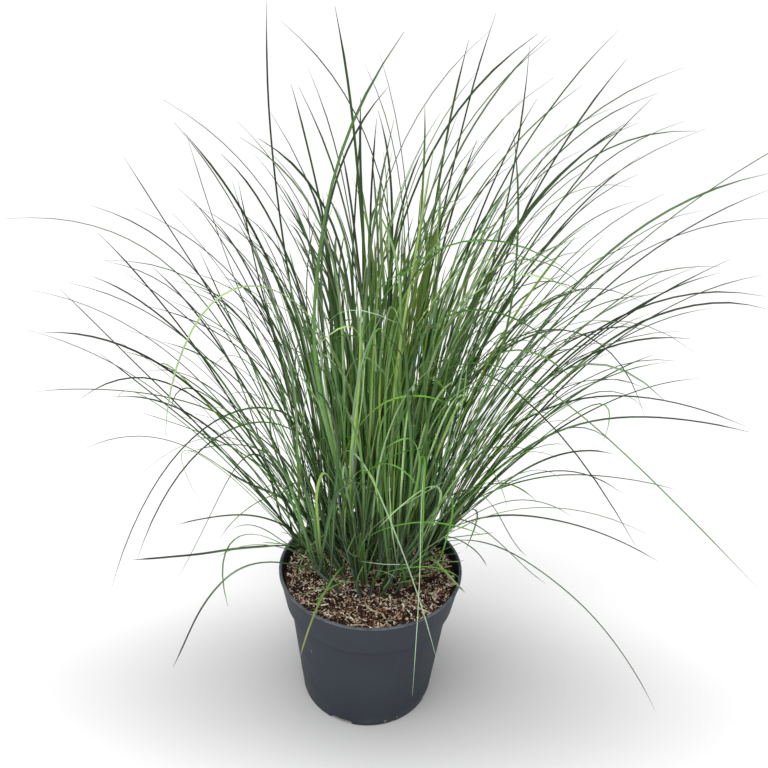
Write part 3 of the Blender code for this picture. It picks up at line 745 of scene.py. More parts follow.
def pick_points(obj: Object, wanted: Callable[[Vector], bool]) -> None:
    """Select, in edit mode, the points of a mesh that pass a test.

    Args:
        obj: The object in edit mode.
        wanted: Takes a point's place and says whether to select it.
    """
    bpy.ops.mesh.select_all(action="DESELECT")
    bpy.ops.mesh.select_mode(type="VERT")
    bpy.ops.object.mode_set(mode="OBJECT")
    for vert in obj.data.vertices:
        vert.select = wanted(vert.co)
    bpy.ops.object.mode_set(mode="EDIT")


def turned(name: str, levels: list[tuple[float, float]], sides: int) -> Object:
    """Draw a closed turned body from a ring, extruded and resized from level to level.

    Args:
        name: The object's name.
        levels: Radius and height of each ring; the first and last are closed with a face.
        sides: Points in a ring.

    Returns:
        The body, with its place in its mesh.
    """
    near = 1e-5
    clear_choice()
    radius, height = levels[0]
    bpy.ops.mesh.primitive_circle_add(vertices=sides, radius=radius, location=(0, 0, height))
    obj = bpy.context.object
    obj.name = name
    bpy.ops.object.transform_apply(location=True, rotation=True, scale=True)
    bpy.ops.object.mode_set(mode="EDIT")
    bpy.ops.mesh.select_mode(type="EDGE")
    bpy.ops.mesh.select_all(action="SELECT")
    for (before, low), (after, high) in zip(levels, levels[1:]):
        bpy.ops.mesh.extrude_edges_move(TRANSFORM_OT_translate={"value": (0, 0, high - low)})
        share = after / before
        bpy.ops.transform.resize(value=(share, share, 1), center_override=(0, 0, high))
    bpy.ops.mesh.edge_face_add()
    pick_points(obj, lambda place: abs(place.z - height) < near
                and abs(math.hypot(place.x, place.y) - radius) < near)
    bpy.ops.mesh.edge_face_add()
    bpy.ops.mesh.select_all(action="SELECT")
    bpy.ops.mesh.normals_make_consistent(inside=False)
    bpy.ops.object.mode_set(mode="OBJECT")
    return obj


def rounded(centre: tuple[float, float], radius: float, start: float, end: float,
            steps: int = 4) -> list[tuple[float, float]]:
    """Give the points of a profile's round corner, between angles in degrees from straight out."""
    turns = [math.radians(start + (end - start) * step / steps) for step in range(steps + 1)]
    return [(centre[0] + radius * math.cos(turn), centre[1] + radius * math.sin(turn)) for turn in turns]


def cut_away(obj: Object, cutter: Object) -> None:
    """Cut one body out of another, and remove the cutter.

    Args:
        obj: The body to cut.
        cutter: The body that is cut out of it.
    """
    choose(obj)
    modifier = obj.modifiers.new("cut", "BOOLEAN")
    modifier.operation = "DIFFERENCE"
    modifier.solver = "EXACT"
    modifier.object = cutter
    bpy.ops.object.modifier_apply(modifier=modifier.name)
    bpy.data.objects.remove(cutter)


def tube_faces(first: int, rows: int, sides: int) -> list[tuple[int, ...]]:
    """Give the faces of a closed tube made of rings.

    Args:
        first: Number of its first point.
        rows: How many rings it has.
        sides: Points in a ring.

    Returns:
        The faces, as point numbers.
    """
    faces = []
    for row in range(rows - 1):
        here, there = first + row * sides, first + (row + 1) * sides
        for side in range(sides):
            after = (side + 1) % sides
            faces.append((here + side, here + after, there + after, there + side))
    faces.append(tuple(first + side for side in reversed(range(sides))))
    faces.append(tuple(first + (rows - 1) * sides + side for side in range(sides)))
    return faces


def mesh_piece(name: str, points: np.ndarray, faces: list[tuple[int, ...]], numbers: dict[str, np.ndarray],
               leaf_map: np.ndarray | None = None) -> Object:
    """Make an object from arrays.

    Args:
        name: The object's name.
        points: Its points.
        faces: Its faces, as point numbers.
        numbers: Numbers held at its points, by attribute name.
        leaf_map: Across and along values of each point, for its UV map.

    Returns:
        The new object.
    """
    mesh = bpy.data.meshes.new(name)
    mesh.from_pydata([tuple(point) for point in points.tolist()], [], faces)
    for label, values in numbers.items():
        mesh.attributes.new(label, "FLOAT", "POINT").data.foreach_set("value", values.astype(np.float32))
    if leaf_map is not None:
        corners = np.zeros(len(mesh.loops), np.int32)
        mesh.loops.foreach_get("vertex_index", corners)
        spread = leaf_map[corners].astype(np.float32).ravel()
        mesh.uv_layers.new(name=LEAF_MAP).data.foreach_set("uv", spread)
    mesh.validate()
    obj = bpy.data.objects.new(name, mesh)
    bpy.context.scene.collection.objects.link(obj)
    return obj


def dress(obj: Object, material: Material, replaced: tuple[str, ...] = ()) -> None:
    """Give a piece its material and its place on the frame.

    Args:
        obj: The piece.
        material: Its material.
        replaced: The solids that it stands for.
    """
    obj.data.materials.clear()
    obj.data.materials.append(material)
    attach(obj, BODY)
    if replaced:
        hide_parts(*replaced)
    LOG.info("%s: %d faces", obj.name, len(obj.data.polygons))


@dataclass
class NurseryPot:
    """The moulded pot: a tapered body, a deep band, a thin lip, and feet parted by drain channels.

    Channels and slots are given by their width, their height and the radius of their inner end.
    """

    height: float = 0.1544
    rim_radius: float = 0.095
    wall: float = 0.0020
    lip_height: float = 0.0030
    lip_depth: float = 0.0010
    band_height: float = 0.0355
    band_foot_radius: float = 0.0885
    band_step: float = 0.0040
    band_round: float = 0.0012
    body_top_radius: float = 0.0835
    body_round: float = 0.0016
    base_radius: float = 0.071
    base_round: float = 0.0015
    floor: float = 0.0070
    floor_round: float = 0.0040
    floor_flare: float = 0.0004
    floor_middle: float = 0.020
    sides: int = 144
    channel_angle: float = math.radians(-111)
    channel_size: tuple = (0.0240, 0.0050, 0.046)
    slot_size: tuple = (0.0040, 0.0024, 0.058)
    channel_count: int = 4
    cut_over: float = 0.004
    hole_radius: float = 0.0055
    hole_place: float = 0.054
    smooth_angle: float = math.radians(32)
    finish: PotFinish = PotFinish()

    @property
    def band_foot(self) -> float:
        """Height of the band's lower edge."""
        return self.height - self.band_height

    @property
    def body_top(self) -> float:
        """Height where the tapered body ends under the step."""
        return self.band_foot - self.band_step

    def profile(self) -> list[tuple[float, float]]:
        """Draw the section from the edge of the underside, over the lip, to the inner floor.

        Returns:
            Radius and height of each point.
        """
        lip_foot = self.height - self.lip_height
        neck = self.rim_radius - self.lip_depth
        edge = self.lip_depth / 2
        inner = neck - self.wall
        wall_foot = self.base_radius - self.wall + self.floor_flare
        floor_bend = self.floor + self.floor_round
        return [
            *rounded((self.base_radius - self.base_round, self.base_round), self.base_round, -90, -5),
            (self.body_top_radius - 0.0002, self.body_top - 0.0030),
            *rounded((self.body_top_radius + self.body_round, self.body_top - 0.0004), self.body_round,
                     180, 118),
            *rounded((self.band_foot_radius - self.band_round, self.band_foot + 0.0004), self.band_round,
                     -52, 2),
            (neck, lip_foot - 0.0006),
            *rounded((self.rim_radius - edge, lip_foot + edge), edge, -80, 0, 3),
            *rounded((self.rim_radius - edge, self.height - edge), edge, 0, 90),
            *rounded((inner + edge, self.height - edge), edge, 90, 180),
            (self.band_foot_radius - self.wall, self.band_foot),
            (self.body_top_radius - self.wall, self.body_top),
            (wall_foot, floor_bend),
            *rounded((wall_foot - self.floor_round, floor_bend), self.floor_round, 0, -90, 3),
            (self.floor_middle, self.floor),
        ]

    def cut_underside(self, pot: Object) -> None:
        """Cut the wide channels, the narrow slots between them and a hole at each channel's inner end.

        Args:
            pot: The pot to cut them in.
        """
        for step in range(2 * self.channel_count):
            wide = step % 2 == 0
            width, height, inner = self.channel_size if wide else self.slot_size
            turn = self.channel_angle + math.pi / self.channel_count * step
            length = self.base_radius + self.cut_over - inner
            out = Matrix.Rotation(turn, 4, "Z")
            clear_choice()
            bpy.ops.mesh.primitive_cube_add(size=1)
            box = bpy.context.object
            middle = Matrix.Translation((inner + length / 2, 0, (height - self.cut_over) / 2))
            box.data.transform(out @ middle @ Matrix.Diagonal((length, width, height + self.cut_over, 1)))
            cut_away(pot, box)
            if wide:
                clear_choice()
                bpy.ops.mesh.primitive_cylinder_add(vertices=32, radius=self.hole_radius,
                                                    depth=self.floor * 3)
                drill = bpy.context.object
                drill.data.transform(out @ Matrix.Translation((self.hole_place, 0, self.floor / 2)))
                cut_away(pot, drill)

    def build(self, specks: NodeTree) -> None:
        """Model the pot and dress it.

        Args:
            specks: The group for small specks.
        """
        pot = turned("pot_moulded", self.profile(), self.sides)
        self.cut_underside(pot)
        choose(pot)
        bpy.ops.object.shade_smooth_by_angle(angle=self.smooth_angle)
        # Height where the painted shade under the band's step is darkest.
        step_height = self.band_foot + 0.0002
        dress(pot, self.finish.build(specks, self.height, step_height), ("pot",))


@dataclass
class PottingMix:
    """Peat with chips of bark and coir fibre, its top some 9 mm under the pot's rim.

    Each broad wave of the top is given by its radians to a metre each way, its start and its share.
    """

    level: float = 0.1455
    lump: float = 0.0014
    swells: tuple = ((97, 61, 0.6, 1.0), (-71, 113, 2.1, 1.0), (173, -149, 4.0, 0.6))
    wave_count: int = 42
    wave_lengths: tuple = (0.0045, 0.020)
    wave_height: float = 0.018
    edge_drop: float = 0.0016
    gap: float = 0.0007
    pot: NurseryPot = field(default_factory=NurseryPot)
    sides: int = 160
    ring_step: float = 0.0019
    crumb_count: int = 5600
    crumb_sizes: tuple = (0.0007, 0.0024)
    chip_count: int = 8600
    chip_length: float = 0.0027
    chip_spread: float = 0.65
    chip_lengths: tuple = (0.0011, 0.0125)
    chip_widths: tuple = (0.0005, 0.0017)
    chip_depths: tuple = (0.0003, 0.0009)
    fibre_count: int = 420
    fibre_steps: int = 6
    fibre_sides: int = 3
    fibre_lengths: tuple = (0.006, 0.019)
    fibre_radii: tuple = (0.00014, 0.00034)
    fibre_bend: float = 0.45
    seed: int = 5

    def __post_init__(self) -> None:
        """Draw the fine waves of its top, and start the source of chance for its bits."""
        self.rng = np.random.default_rng(self.seed)
        rng = np.random.default_rng(self.seed)
        self.lengths = rng.uniform(*self.wave_lengths, self.wave_count)
        self.turns = rng.uniform(0, math.tau, self.wave_count)
        self.shifts = rng.uniform(0, math.tau, self.wave_count)

    def inner_radius(self, height: float) -> float:
        """Find the mix's own outer radius, just inside the pot's wall.

        Args:
            height: Height over the floor.

        Returns:
            The radius there.
        """
        pot = self.pot
        heights = (pot.floor + pot.floor_round, pot.body_top, pot.band_foot, pot.height)
        radii = (pot.base_radius + pot.floor_flare, pot.body_top_radius, pot.band_foot_radius,
                 pot.rim_radius - pot.lip_depth)
        return float(np.interp(height, heights, radii)) - pot.wall - self.gap

    def top(self, x: np.ndarray, y: np.ndarray) -> np.ndarray:
        """Find the height of the mix's uneven top.

        Args:
            x: Places from left to right.
            y: Places from front to back.

        Returns:
            The height over each place.
        """
        coarse = sum(share * np.sin(right * x + back * y + start)
                     for right, back, start, share in self.swells)
        coarse = coarse * self.lump / sum(swell[3] for swell in self.swells)
        edge = np.minimum(np.hypot(x, y) / self.inner_radius(self.level), 1) ** 6
        fine = np.zeros_like(np.asarray(x, float))
        for length, turn, shift in zip(self.lengths, self.turns, self.shifts):
            along = (x * math.cos(turn) + y * math.sin(turn)) * math.tau / length
            fine = fine + np.sin(along + shift) * length * self.wave_height
        return self.level + coarse - self.edge_drop * edge + fine

    def build_bed(self, finish: PottingFinish) -> None:
        """Model the body of the mix, with an uneven top.

        Args:
            finish: Its finish.
        """
        pot = self.pot
        floor = pot.floor + self.gap
        floor_bend = pot.floor + pot.floor_round
        rim = self.inner_radius(self.level)
        levels = [(pot.floor_middle, floor),
                  (pot.base_radius - pot.wall - pot.floor_round - self.gap, floor),
                  (self.inner_radius(floor_bend), floor_bend),
                  (self.inner_radius(pot.body_top), pot.body_top + self.gap / 2),
                  (self.inner_radius(pot.band_foot), pot.band_foot + self.gap / 2), (rim, self.level)]
        rings = int(rim / self.ring_step)
        levels += [(rim * (1 - step / rings), self.level) for step in range(1, rings)]
        bed = turned("potting_mix_bed", levels, self.sides)
        for vert in bed.data.vertices:
            if vert.co.z > self.level - 1e-5:
                vert.co.z = float(self.top(vert.co.x, vert.co.y))
        choose(bed)
        bpy.ops.object.shade_smooth()
        dress(bed, finish.build(), ("potting_soil",))

    def scattered(self, count: int, sunk: float, margin: float) -> np.ndarray:
        """Scatter bits over the top, in loose patches.

        Args:
            count: How many bits there are.
            sunk: How deep the middle of a bit lies, at most.
            margin: How far bits stay from the pot's wall.

        Returns:
            Their places.
        """
        rng = self.rng
        reach = self.inner_radius(self.level) - margin
        places = rng.uniform(-reach, reach, (count * 4, 2))
        places = places[np.hypot(*places.T) < reach]
        patch = (np.sin(places[:, 0] * 210 + 1.3) * np.sin(places[:, 1] * 190 + 0.4)
                 + np.sin(places[:, 0] * 120 - places[:, 1] * 150 + 2.0)) / 2
        places = places[rng.uniform(-1.1, 0.75, len(places)) < patch][:count]
        heights = self.top(places[:, 0], places[:, 1]) - rng.uniform(-sunk * 0.6, sunk, len(places))
        return np.column_stack([places, heights])

    def build_bits(self, name: str, places: np.ndarray, sizes: np.ndarray, tilt: float,
                   finish: PottingFinish) -> None:
        """Model chips or crumbs as one mesh of small jagged blocks.

        Args:
            name: The piece's name.
            places: Middle of each block.
            sizes: Length, width and thickness of each.
            tilt: How far they tip, as a standard deviation in radians.
            finish: Their finish.
        """
        rng = self.rng
        corners = np.array([(x, y, z) for x in (-1, 1) for y in (-1, 1) for z in (-1, 1)]) / 2
        sides = np.array([(0, 1, 3, 2), (4, 6, 7, 5), (0, 4, 5, 1),
                          (2, 3, 7, 6), (0, 2, 6, 4), (1, 5, 7, 3)])
        count = len(places)
        blocks = corners * sizes[:, None, :] * rng.uniform(0.55, 1.15, (count, len(corners), 3))
        yaw = rng.uniform(0, math.tau, count)
        pitch = rng.normal(0, tilt, count)
        roll = rng.normal(0, tilt * 1.3, count)
        long_way = np.column_stack([np.cos(yaw) * np.cos(pitch), np.sin(yaw) * np.cos(pitch), np.sin(pitch)])
        level = np.column_stack([-np.sin(yaw), np.cos(yaw), np.zeros(count)])
        across = unit(level * np.cos(roll)[:, None] + np.cross(long_way, level) * np.sin(roll)[:, None])
        frames = np.stack([long_way, across, np.cross(long_way, across)], axis=1)
        points = (blocks @ frames + places[:, None, :]).reshape(-1, 3)
        faces = (sides[None] + len(corners) * np.arange(count)[:, None, None]).reshape(-1, 4)
        tones = np.repeat(rng.uniform(0, 1, count), len(corners))
        bits = mesh_piece(name, points, faces.tolist(), {"bit_tone": tones})
        dress(bits, finish.build())

    def fibre_path(self, place: np.ndarray) -> tuple[np.ndarray, np.ndarray]:
        """Lay one bent fibre on the mix.

        Args:
            place: Where its middle is.

        Returns:
            Points along it, and its direction at each.
        """
        rng = self.rng
        along = np.linspace(-0.5, 0.5, self.fibre_steps)
        length = rng.uniform(*self.fibre_lengths)
        yaw = rng.uniform(0, math.tau)
        turns = yaw + rng.normal(0, self.fibre_bend) * along
        climb = np.full(self.fibre_steps, rng.normal(0, 0.10))
        ways = np.column_stack([np.cos(turns), np.sin(turns), climb])
        line = place + np.cumsum(ways * length / self.fibre_steps, axis=0) - ways[0] * length / 2
        line[:, 2] = np.maximum(line[:, 2], self.top(line[:, 0], line[:, 1]) + 0.0001)
        return line, ways

    def build_fibres(self, finish: PottingFinish) -> None:
        """Model loose coir fibres as one mesh of thin bent rods.

        Args:
            finish: Their finish.
        """
        size = self.fibre_steps * self.fibre_sides
        thinner = 1 - (2 * np.linspace(-0.5, 0.5, self.fibre_steps)) ** 4 * 0.8
        turns = np.arange(self.fibre_sides) * math.tau / self.fibre_sides + 0.5
        points, faces, tones = [], [], []
        for place in self.scattered(self.fibre_count, 0.0001, 0.006):
            line, ways = self.fibre_path(place)
            if np.hypot(line[:, 0], line[:, 1]).max() > self.inner_radius(self.level) - 0.001:
                continue
            across = unit(np.cross(ways, UP))
            thick = self.rng.uniform(*self.fibre_radii) * thinner[:, None]
            rod = [line + thick * (across * math.cos(turn) + UP * math.sin(turn)) for turn in turns]
            faces += tube_faces(len(points) * size, self.fibre_steps, self.fibre_sides)
            points.append(np.stack(rod, axis=1).reshape(-1, 3))
            tones += [self.rng.uniform(0, 1)] * size
        fibres = mesh_piece("potting_mix_fibres", np.concatenate(points), faces,
                            {"bit_tone": np.array(tones)})
        dress(fibres, finish.build())

    def build(self) -> None:
        """Model and dress the whole bed."""
        rng = self.rng
        self.build_bed(PottingFinish(MixPart.PEAT, PEAT_COLOURS, 900.0, 0.9))
        crumbs = self.scattered(self.crumb_count, 0.0008, 0.002)
        sizes = rng.uniform(*self.crumb_sizes, (len(crumbs), 1))
        sizes = sizes * rng.uniform(0.6, 1.2, (len(crumbs), 3))
        self.build_bits("potting_mix_crumbs", crumbs, sizes, 0.7,
                        PottingFinish(MixPart.PEAT, PEAT_COLOURS, 1100.0, 0.8))
        chips = self.scattered(self.chip_count, 0.0003, 0.003)
        count = len(chips)
        lengths = rng.lognormal(math.log(self.chip_length), self.chip_spread, count).clip(*self.chip_lengths)
        widths = (lengths * rng.uniform(0.14, 0.45, count)).clip(*self.chip_widths)
        depths = rng.uniform(*self.chip_depths, count)
        self.build_bits("potting_mix_chips", chips, np.column_stack([lengths, widths, depths]), 0.33,
                        PottingFinish(MixPart.CHIP, CHIP_COLOURS, 1600.0, 0.5))
        self.build_fibres(PottingFinish(MixPart.FIBRE, FIBRE_COLOURS, 1500.0, 0.3))


class LeafKind(Enum):
    """What sort of leaf it is; the value is how many stretches its blade is drawn in."""

    FULL = 26
    SIDE = 18
    YOUNG = 12


def cubic(controls: np.ndarray, shares: np.ndarray) -> np.ndarray:
    """Find points of a cubic curve.

    Args:
        controls: Its four control points.
        shares: Shares of its run.

    Returns:
        The point at each share.
    """
    t = shares[:, None]
    return ((1 - t) ** 3 * controls[0] + 3 * t * (1 - t) ** 2 * controls[1]
            + 3 * t * t * (1 - t) * controls[2] + t ** 3 * controls[3])


def cubic_ways(controls: np.ndarray, shares: np.ndarray) -> np.ndarray:
    """Find directions of a cubic curve.

    Args:
        controls: Its four control points.
        shares: Shares of its run.

    Returns:
        The unit direction at each share.
    """
    t = shares[:, None]
    steps = np.diff(controls, axis=0)
    return unit((1 - t) ** 2 * steps[0] + 2 * t * (1 - t) * steps[1] + t * t * steps[2])


def fitted_cubic(points: np.ndarray, by_length: bool = False) -> np.ndarray:
    """Find the cubic curve that keeps a path's ends and runs closest to its other points.

    Args:
        points: Points that it passes.
        by_length: Whether they lie at shares of the path's length, rather than at even shares.

    Returns:
        Its four control points.
    """
    t = np.linspace(0, 1, len(points))[:, None]
    if by_length:
        run = np.concatenate([[0.0], np.cumsum(np.linalg.norm(np.diff(points, axis=0), axis=1))])
        t = (run / run[-1])[:, None]
    ends = (1 - t) ** 3 * points[0] + t ** 3 * points[-1]
    weights = np.hstack([3 * t * (1 - t) ** 2, 3 * t * t * (1 - t)])[1:-1]
    inner = np.linalg.lstsq(weights, (points - ends)[1:-1], rcond=None)[0]
    return np.vstack([points[:1], inner, points[-1:]])


def shortened(controls: np.ndarray, share: float) -> np.ndarray:
    """Cut a cubic curve off part of the way along.

    Args:
        controls: Its four control points.
        share: The share of its run that is kept.

    Returns:
        The control points of what is kept.
    """
    first = controls[:-1] + share * np.diff(controls, axis=0)
    second = first[:-1] + share * np.diff(first, axis=0)
    third = second[:-1] + share * np.diff(second, axis=0)
    return np.vstack([controls[:1], first[:1], second[:1], third])


@dataclass(frozen=True)
class LeafLook:
    """How a leaf looks: its own shade, how young it is, how much of the darker outer tint it has (partly
    weathering, partly painted shade), how pale it is (partly a painted sheen) and how dry it is.
    """

    tone: float
    youth: float = 0.0
    wear_and_shade: float = 0.0
    pale: float = 0.0
    dryness: float = 0.0


@dataclass
class Leaf:
    """One leaf: the curve of its blade, the side of the sheath that it hugs, its size and its look."""

    kind: LeafKind
    controls: np.ndarray
    flank: int
    collar: float
    layer: float
    half_width: float
    twist: float
    look: LeafLook
    sheath_from: float = 0.0


@dataclass
class ShootForm:
    """A shoot as its solid has it: its sheath's rings and the curves of its blades."""

    number: int
    foot: np.ndarray
    axis: np.ndarray
    side: np.ndarray
    heights: np.ndarray
    halves: np.ndarray
    curves: list[np.ndarray]

    @property
    def outward(self) -> np.ndarray:
        """The way that its flat face looks."""
        return np.cross(self.side, self.axis)

    @property
    def top(self) -> float:
        """Length of the sheath."""
        return float(self.heights[-1])

    def half(self, height: float | np.ndarray) -> float | np.ndarray:
        """Find half of the sheath's width at a height, or at each of several, along it."""
        return np.interp(height, self.heights, self.halves)


def neighbours_of(obj: Object) -> tuple[np.ndarray, list[set[int]]]:
    """Read a solid's mesh with its doubled points joined.

    Args:
        obj: The solid's object.

    Returns:
        Its points, and for each the points that an edge joins it to.
    """
    mesh = obj.data
    places = np.zeros(len(mesh.vertices) * 3)
    mesh.vertices.foreach_get("co", places)
    points, inverse = np.unique(places.reshape(-1, 3).round(6), axis=0, return_inverse=True)
    inverse = inverse.reshape(-1)
    joined = [set() for _ in points]
    for edge in mesh.edges:
        first, second = (int(inverse[index]) for index in edge.vertices)
        if first != second:
            joined[first].add(second)
            joined[second].add(first)
    return points, joined


def read_shoot(number: int, obj: Object, soil_top: float, rim_radius: float) -> ShootForm:
    """Read a shoot's solid back into its sheath and the curves of its blades.

    A blade is a chain of three-pointed sections from its tip down to four corners on the sheath.

    Args:
        number: The shoot's number.
        obj: Its solid.
        soil_top: Height below which its foot is in the soil.
        rim_radius: Radius of the pot's rim.

    Returns:
        The shoot's form.
    """
    points, joined = neighbours_of(obj)
    used: set[int] = set()
    curves = []
    for index, near in enumerate(joined):
        x, y, z = points[index]
        if len(near) != 3 or (z < soil_top and math.hypot(x, y) < rim_radius):
            continue
        chain, layer = [points[index]], set(near)
        seen = {index} | layer
        while len(layer) == 3:
            chain.append(points[sorted(layer)].mean(0))
            layer = set().union(*(joined[point] for point in layer)) - seen
            last_seen = set(seen)
            seen |= layer
        chain.append(points[sorted(layer)].mean(0))
        used |= last_seen
        curves.append(fitted_cubic(np.array(chain[::-1])))
    rest = points[[index for index in range(len(points)) if index not in used]]
    foot = rest[np.argsort(rest[:, 2])[:4]]
    middle = foot.mean(0)
    far = rest[np.argsort(np.linalg.norm(rest - middle, axis=1))[-4:]].mean(0)
    axis = unit(far - middle)
    rest = rest[np.argsort((rest - middle) @ axis)].reshape(-1, 4, 3)
    spans = foot[1:] - foot[0]
    side = unit(sorted(spans, key=np.linalg.norm)[1])
    if np.cross(side, axis) @ np.array([axis[0], axis[1], 0]) < 0:
        side = -side
    heights = (rest.mean(1) - middle) @ axis
    halves = np.abs((rest - rest.mean(1, keepdims=True)) @ side).max(1)
    return ShootForm(number, middle, axis, side, heights, halves, curves)


@dataclass(frozen=True)
class LeafShaper:
    """Turns leaves into thin closed strips with a keel, a channel and a thicker midrib.

    Reaches are shares of the blade's run. The opening reach is in metres from the collar, and so is the
    spreading reach. Leaves open to an angle in degrees that is given for the collar, as what is added
    further out and as what is lost again by the tip.
    """

    wrap: float = 1.95
    flatness: float = 0.50
    layer_step: float = 0.00022
    rib_thickness: float = 0.00042
    blade_thickness: float = 0.00022
    thinning: float = 0.6
    sheath_stretches: int = 7
    collar_gap: float = 0.004
    open_reach: tuple = (-0.006, 0.016)
    spread_reach: tuple = (0.0, 0.05)
    open_angles: tuple = (38, 24, 6)
    keel_power: float = 1.25
    turn_reach: tuple = (0.0, 0.24)
    twist_reach: tuple = (0.08, 0.95)
    row_power: float = 1.12
    wave_share: float = 0.0030
    foot_width: float = 0.70
    foot_reach: tuple = (0.0, 0.22)
    taper: float = 0.36
    taper_reach: tuple = (0.30, 0.92)
    tip_taper: float = 0.9
    tip_reach: tuple = (0.90, 1.0)
    least_width: float = 0.00006
    lower: tuple = (-1.0, -0.55, 0.0, 0.55, 1.0)
    upper: tuple = (0.50, 0.0, -0.50)

    def frames(self, leaf: Leaf, shoot: ShootForm, shares: np.ndarray,
               ways: np.ndarray) -> tuple[np.ndarray, np.ndarray]:
        """Find which way a blade's width and its underside point, all along it.

        Args:
            leaf: The leaf.
            shoot: The shoot that it grows on.
            shares: Shares of the blade's run.
            ways: Directions of the blade there.

        Returns:
            Unit vectors across the blade and out of its underside.
        """
        level = unit(np.cross(leaf.controls[3] - leaf.controls[0], UP))
        flat = unit(level - dot(level[None], ways) * ways)
        under = np.cross(ways, flat)
        hugging = shoot.outward * leaf.flank
        start = math.atan2(hugging @ under[0], hugging @ flat[0])
        turn = start * (1 - eased(shares, *self.turn_reach)) + leaf.twist * eased(shares, *self.twist_reach)
        cos, sin = np.cos(turn)[:, None], np.sin(turn)[:, None]
        return flat * cos + under * sin, under * cos - flat * sin

    def profile(self, half_width: float, share: np.ndarray, from_collar: np.ndarray,
                hug_half: np.ndarray) -> tuple[np.ndarray, np.ndarray]:
        """Lay out each section flat: wrapped round the sheath at first, then open with a keel.

        Args:
            half_width: Half of the leaf's full width.
            share: How far along the blade each section is.
            from_collar: Its distance from the collar, below nought on the sheath.
            hug_half: Half of the sheath's width there.

        Returns:
            How far across and how far up the points of each section lie.
        """
        hug = 1 - eased(from_collar, *self.open_reach)
        foot = self.foot_width + (1 - self.foot_width) * eased(share, *self.foot_reach)
        narrow = foot * (1 - self.taper * eased(share, *self.taper_reach))
        width = half_width * narrow * (1 - self.tip_taper * eased(share, *self.tip_reach)) + self.least_width
        at_collar, further, by_tip = self.open_angles
        opening = np.radians(at_collar + further * eased(from_collar, *self.spread_reach) - by_tip * share)
        thin = 1 - self.thinning * share
        x, y = np.zeros((2, len(share), SIDES))
        for column, place in enumerate(self.lower + self.upper):
            lift = 0.0
            if column >= len(self.lower):
                lift = (self.rib_thickness if place == 0 else self.blade_thickness) * thin
            wide, tall = hug_half - lift, hug_half * self.flatness - lift
            hug_x = tall * math.sin(place * self.wrap)
            hug_y = lift + wide * (1 - math.cos(place * self.wrap))
            open_x = place * width * np.sin(opening)
            open_y = abs(place) ** self.keel_power * width * np.cos(opening) + lift
            x[:, column] = hug_x * hug + open_x * (1 - hug)
            y[:, column] = hug_y * hug + open_y * (1 - hug)
        return x, y

    def sections(self, leaf: Leaf, shoot: ShootForm, phase: float) -> tuple[np.ndarray, np.ndarray]:
        """Lay out the eight points of every section of a leaf.

        Args:
            leaf: The leaf.
            shoot: The shoot that it grows on.
            phase: Where its slight waves start.

        Returns:
            The points of each section, and how far along the leaf each section is.
        """
        shares = np.linspace(0, 1, leaf.kind.value + 1) ** self.row_power
        line = cubic(leaf.controls, shares)
        flat, under = self.frames(leaf, shoot, shares, cubic_ways(leaf.controls, shares))
        length = float(np.linalg.norm(np.diff(line, axis=0), axis=1).sum())
        window = (np.sin(shares * math.pi) ** 1.5)[:, None]
        wave = np.sin(shares * math.tau * (1.2 + phase) + phase * 9)[:, None] * self.wave_share * length
        line = line + flat * wave * window

        stem = np.linspace(leaf.sheath_from, leaf.collar - self.collar_gap, self.sheath_stretches)
        half = shoot.half(stem) + self.layer_step * leaf.layer
        stem_line = shoot.foot + shoot.axis * stem[:, None] + shoot.side * (leaf.flank * half)[:, None]
        stem_flat = np.repeat((shoot.outward * leaf.flank)[None], len(stem), axis=0)
        stem_under = np.repeat((shoot.side * leaf.flank)[None], len(stem), axis=0)
        line = np.vstack([stem_line, line])[:, None]
        flat = np.vstack([stem_flat, flat])[:, None]
        rise = -np.vstack([stem_under, under])[:, None]

        x, y = self.profile(leaf.half_width, np.concatenate([np.zeros(len(stem)), shares]),
                            np.concatenate([stem - leaf.collar, shares * length]),
                            np.concatenate([half, np.full(len(shares), half[-1])]))
        along = np.concatenate([(stem - leaf.collar) / 0.1, shares])
        return line + flat * x[..., None] + rise * y[..., None], along

    def stem_sections(self, shoot: ShootForm) -> np.ndarray:
        """Lay out the flattened core that the leaves of a shoot wrap round.

        Args:
            shoot: The shoot.

        Returns:
            The eight points of each section.
        """
        heights = np.concatenate([np.linspace(0, shoot.top - 0.002, 6), [shoot.top + 0.004]])
        halves = shoot.half(heights) - 0.0005
        halves[-1] = 0.0006
        turns = np.arange(SIDES) * math.tau / SIDES
        middle = shoot.foot + shoot.axis * heights[:, None]
        return (middle[:, None] + (halves[:, None] * np.cos(turns))[..., None] * shoot.side
                - (halves[:, None] * self.flatness * np.sin(turns))[..., None] * shoot.outward)


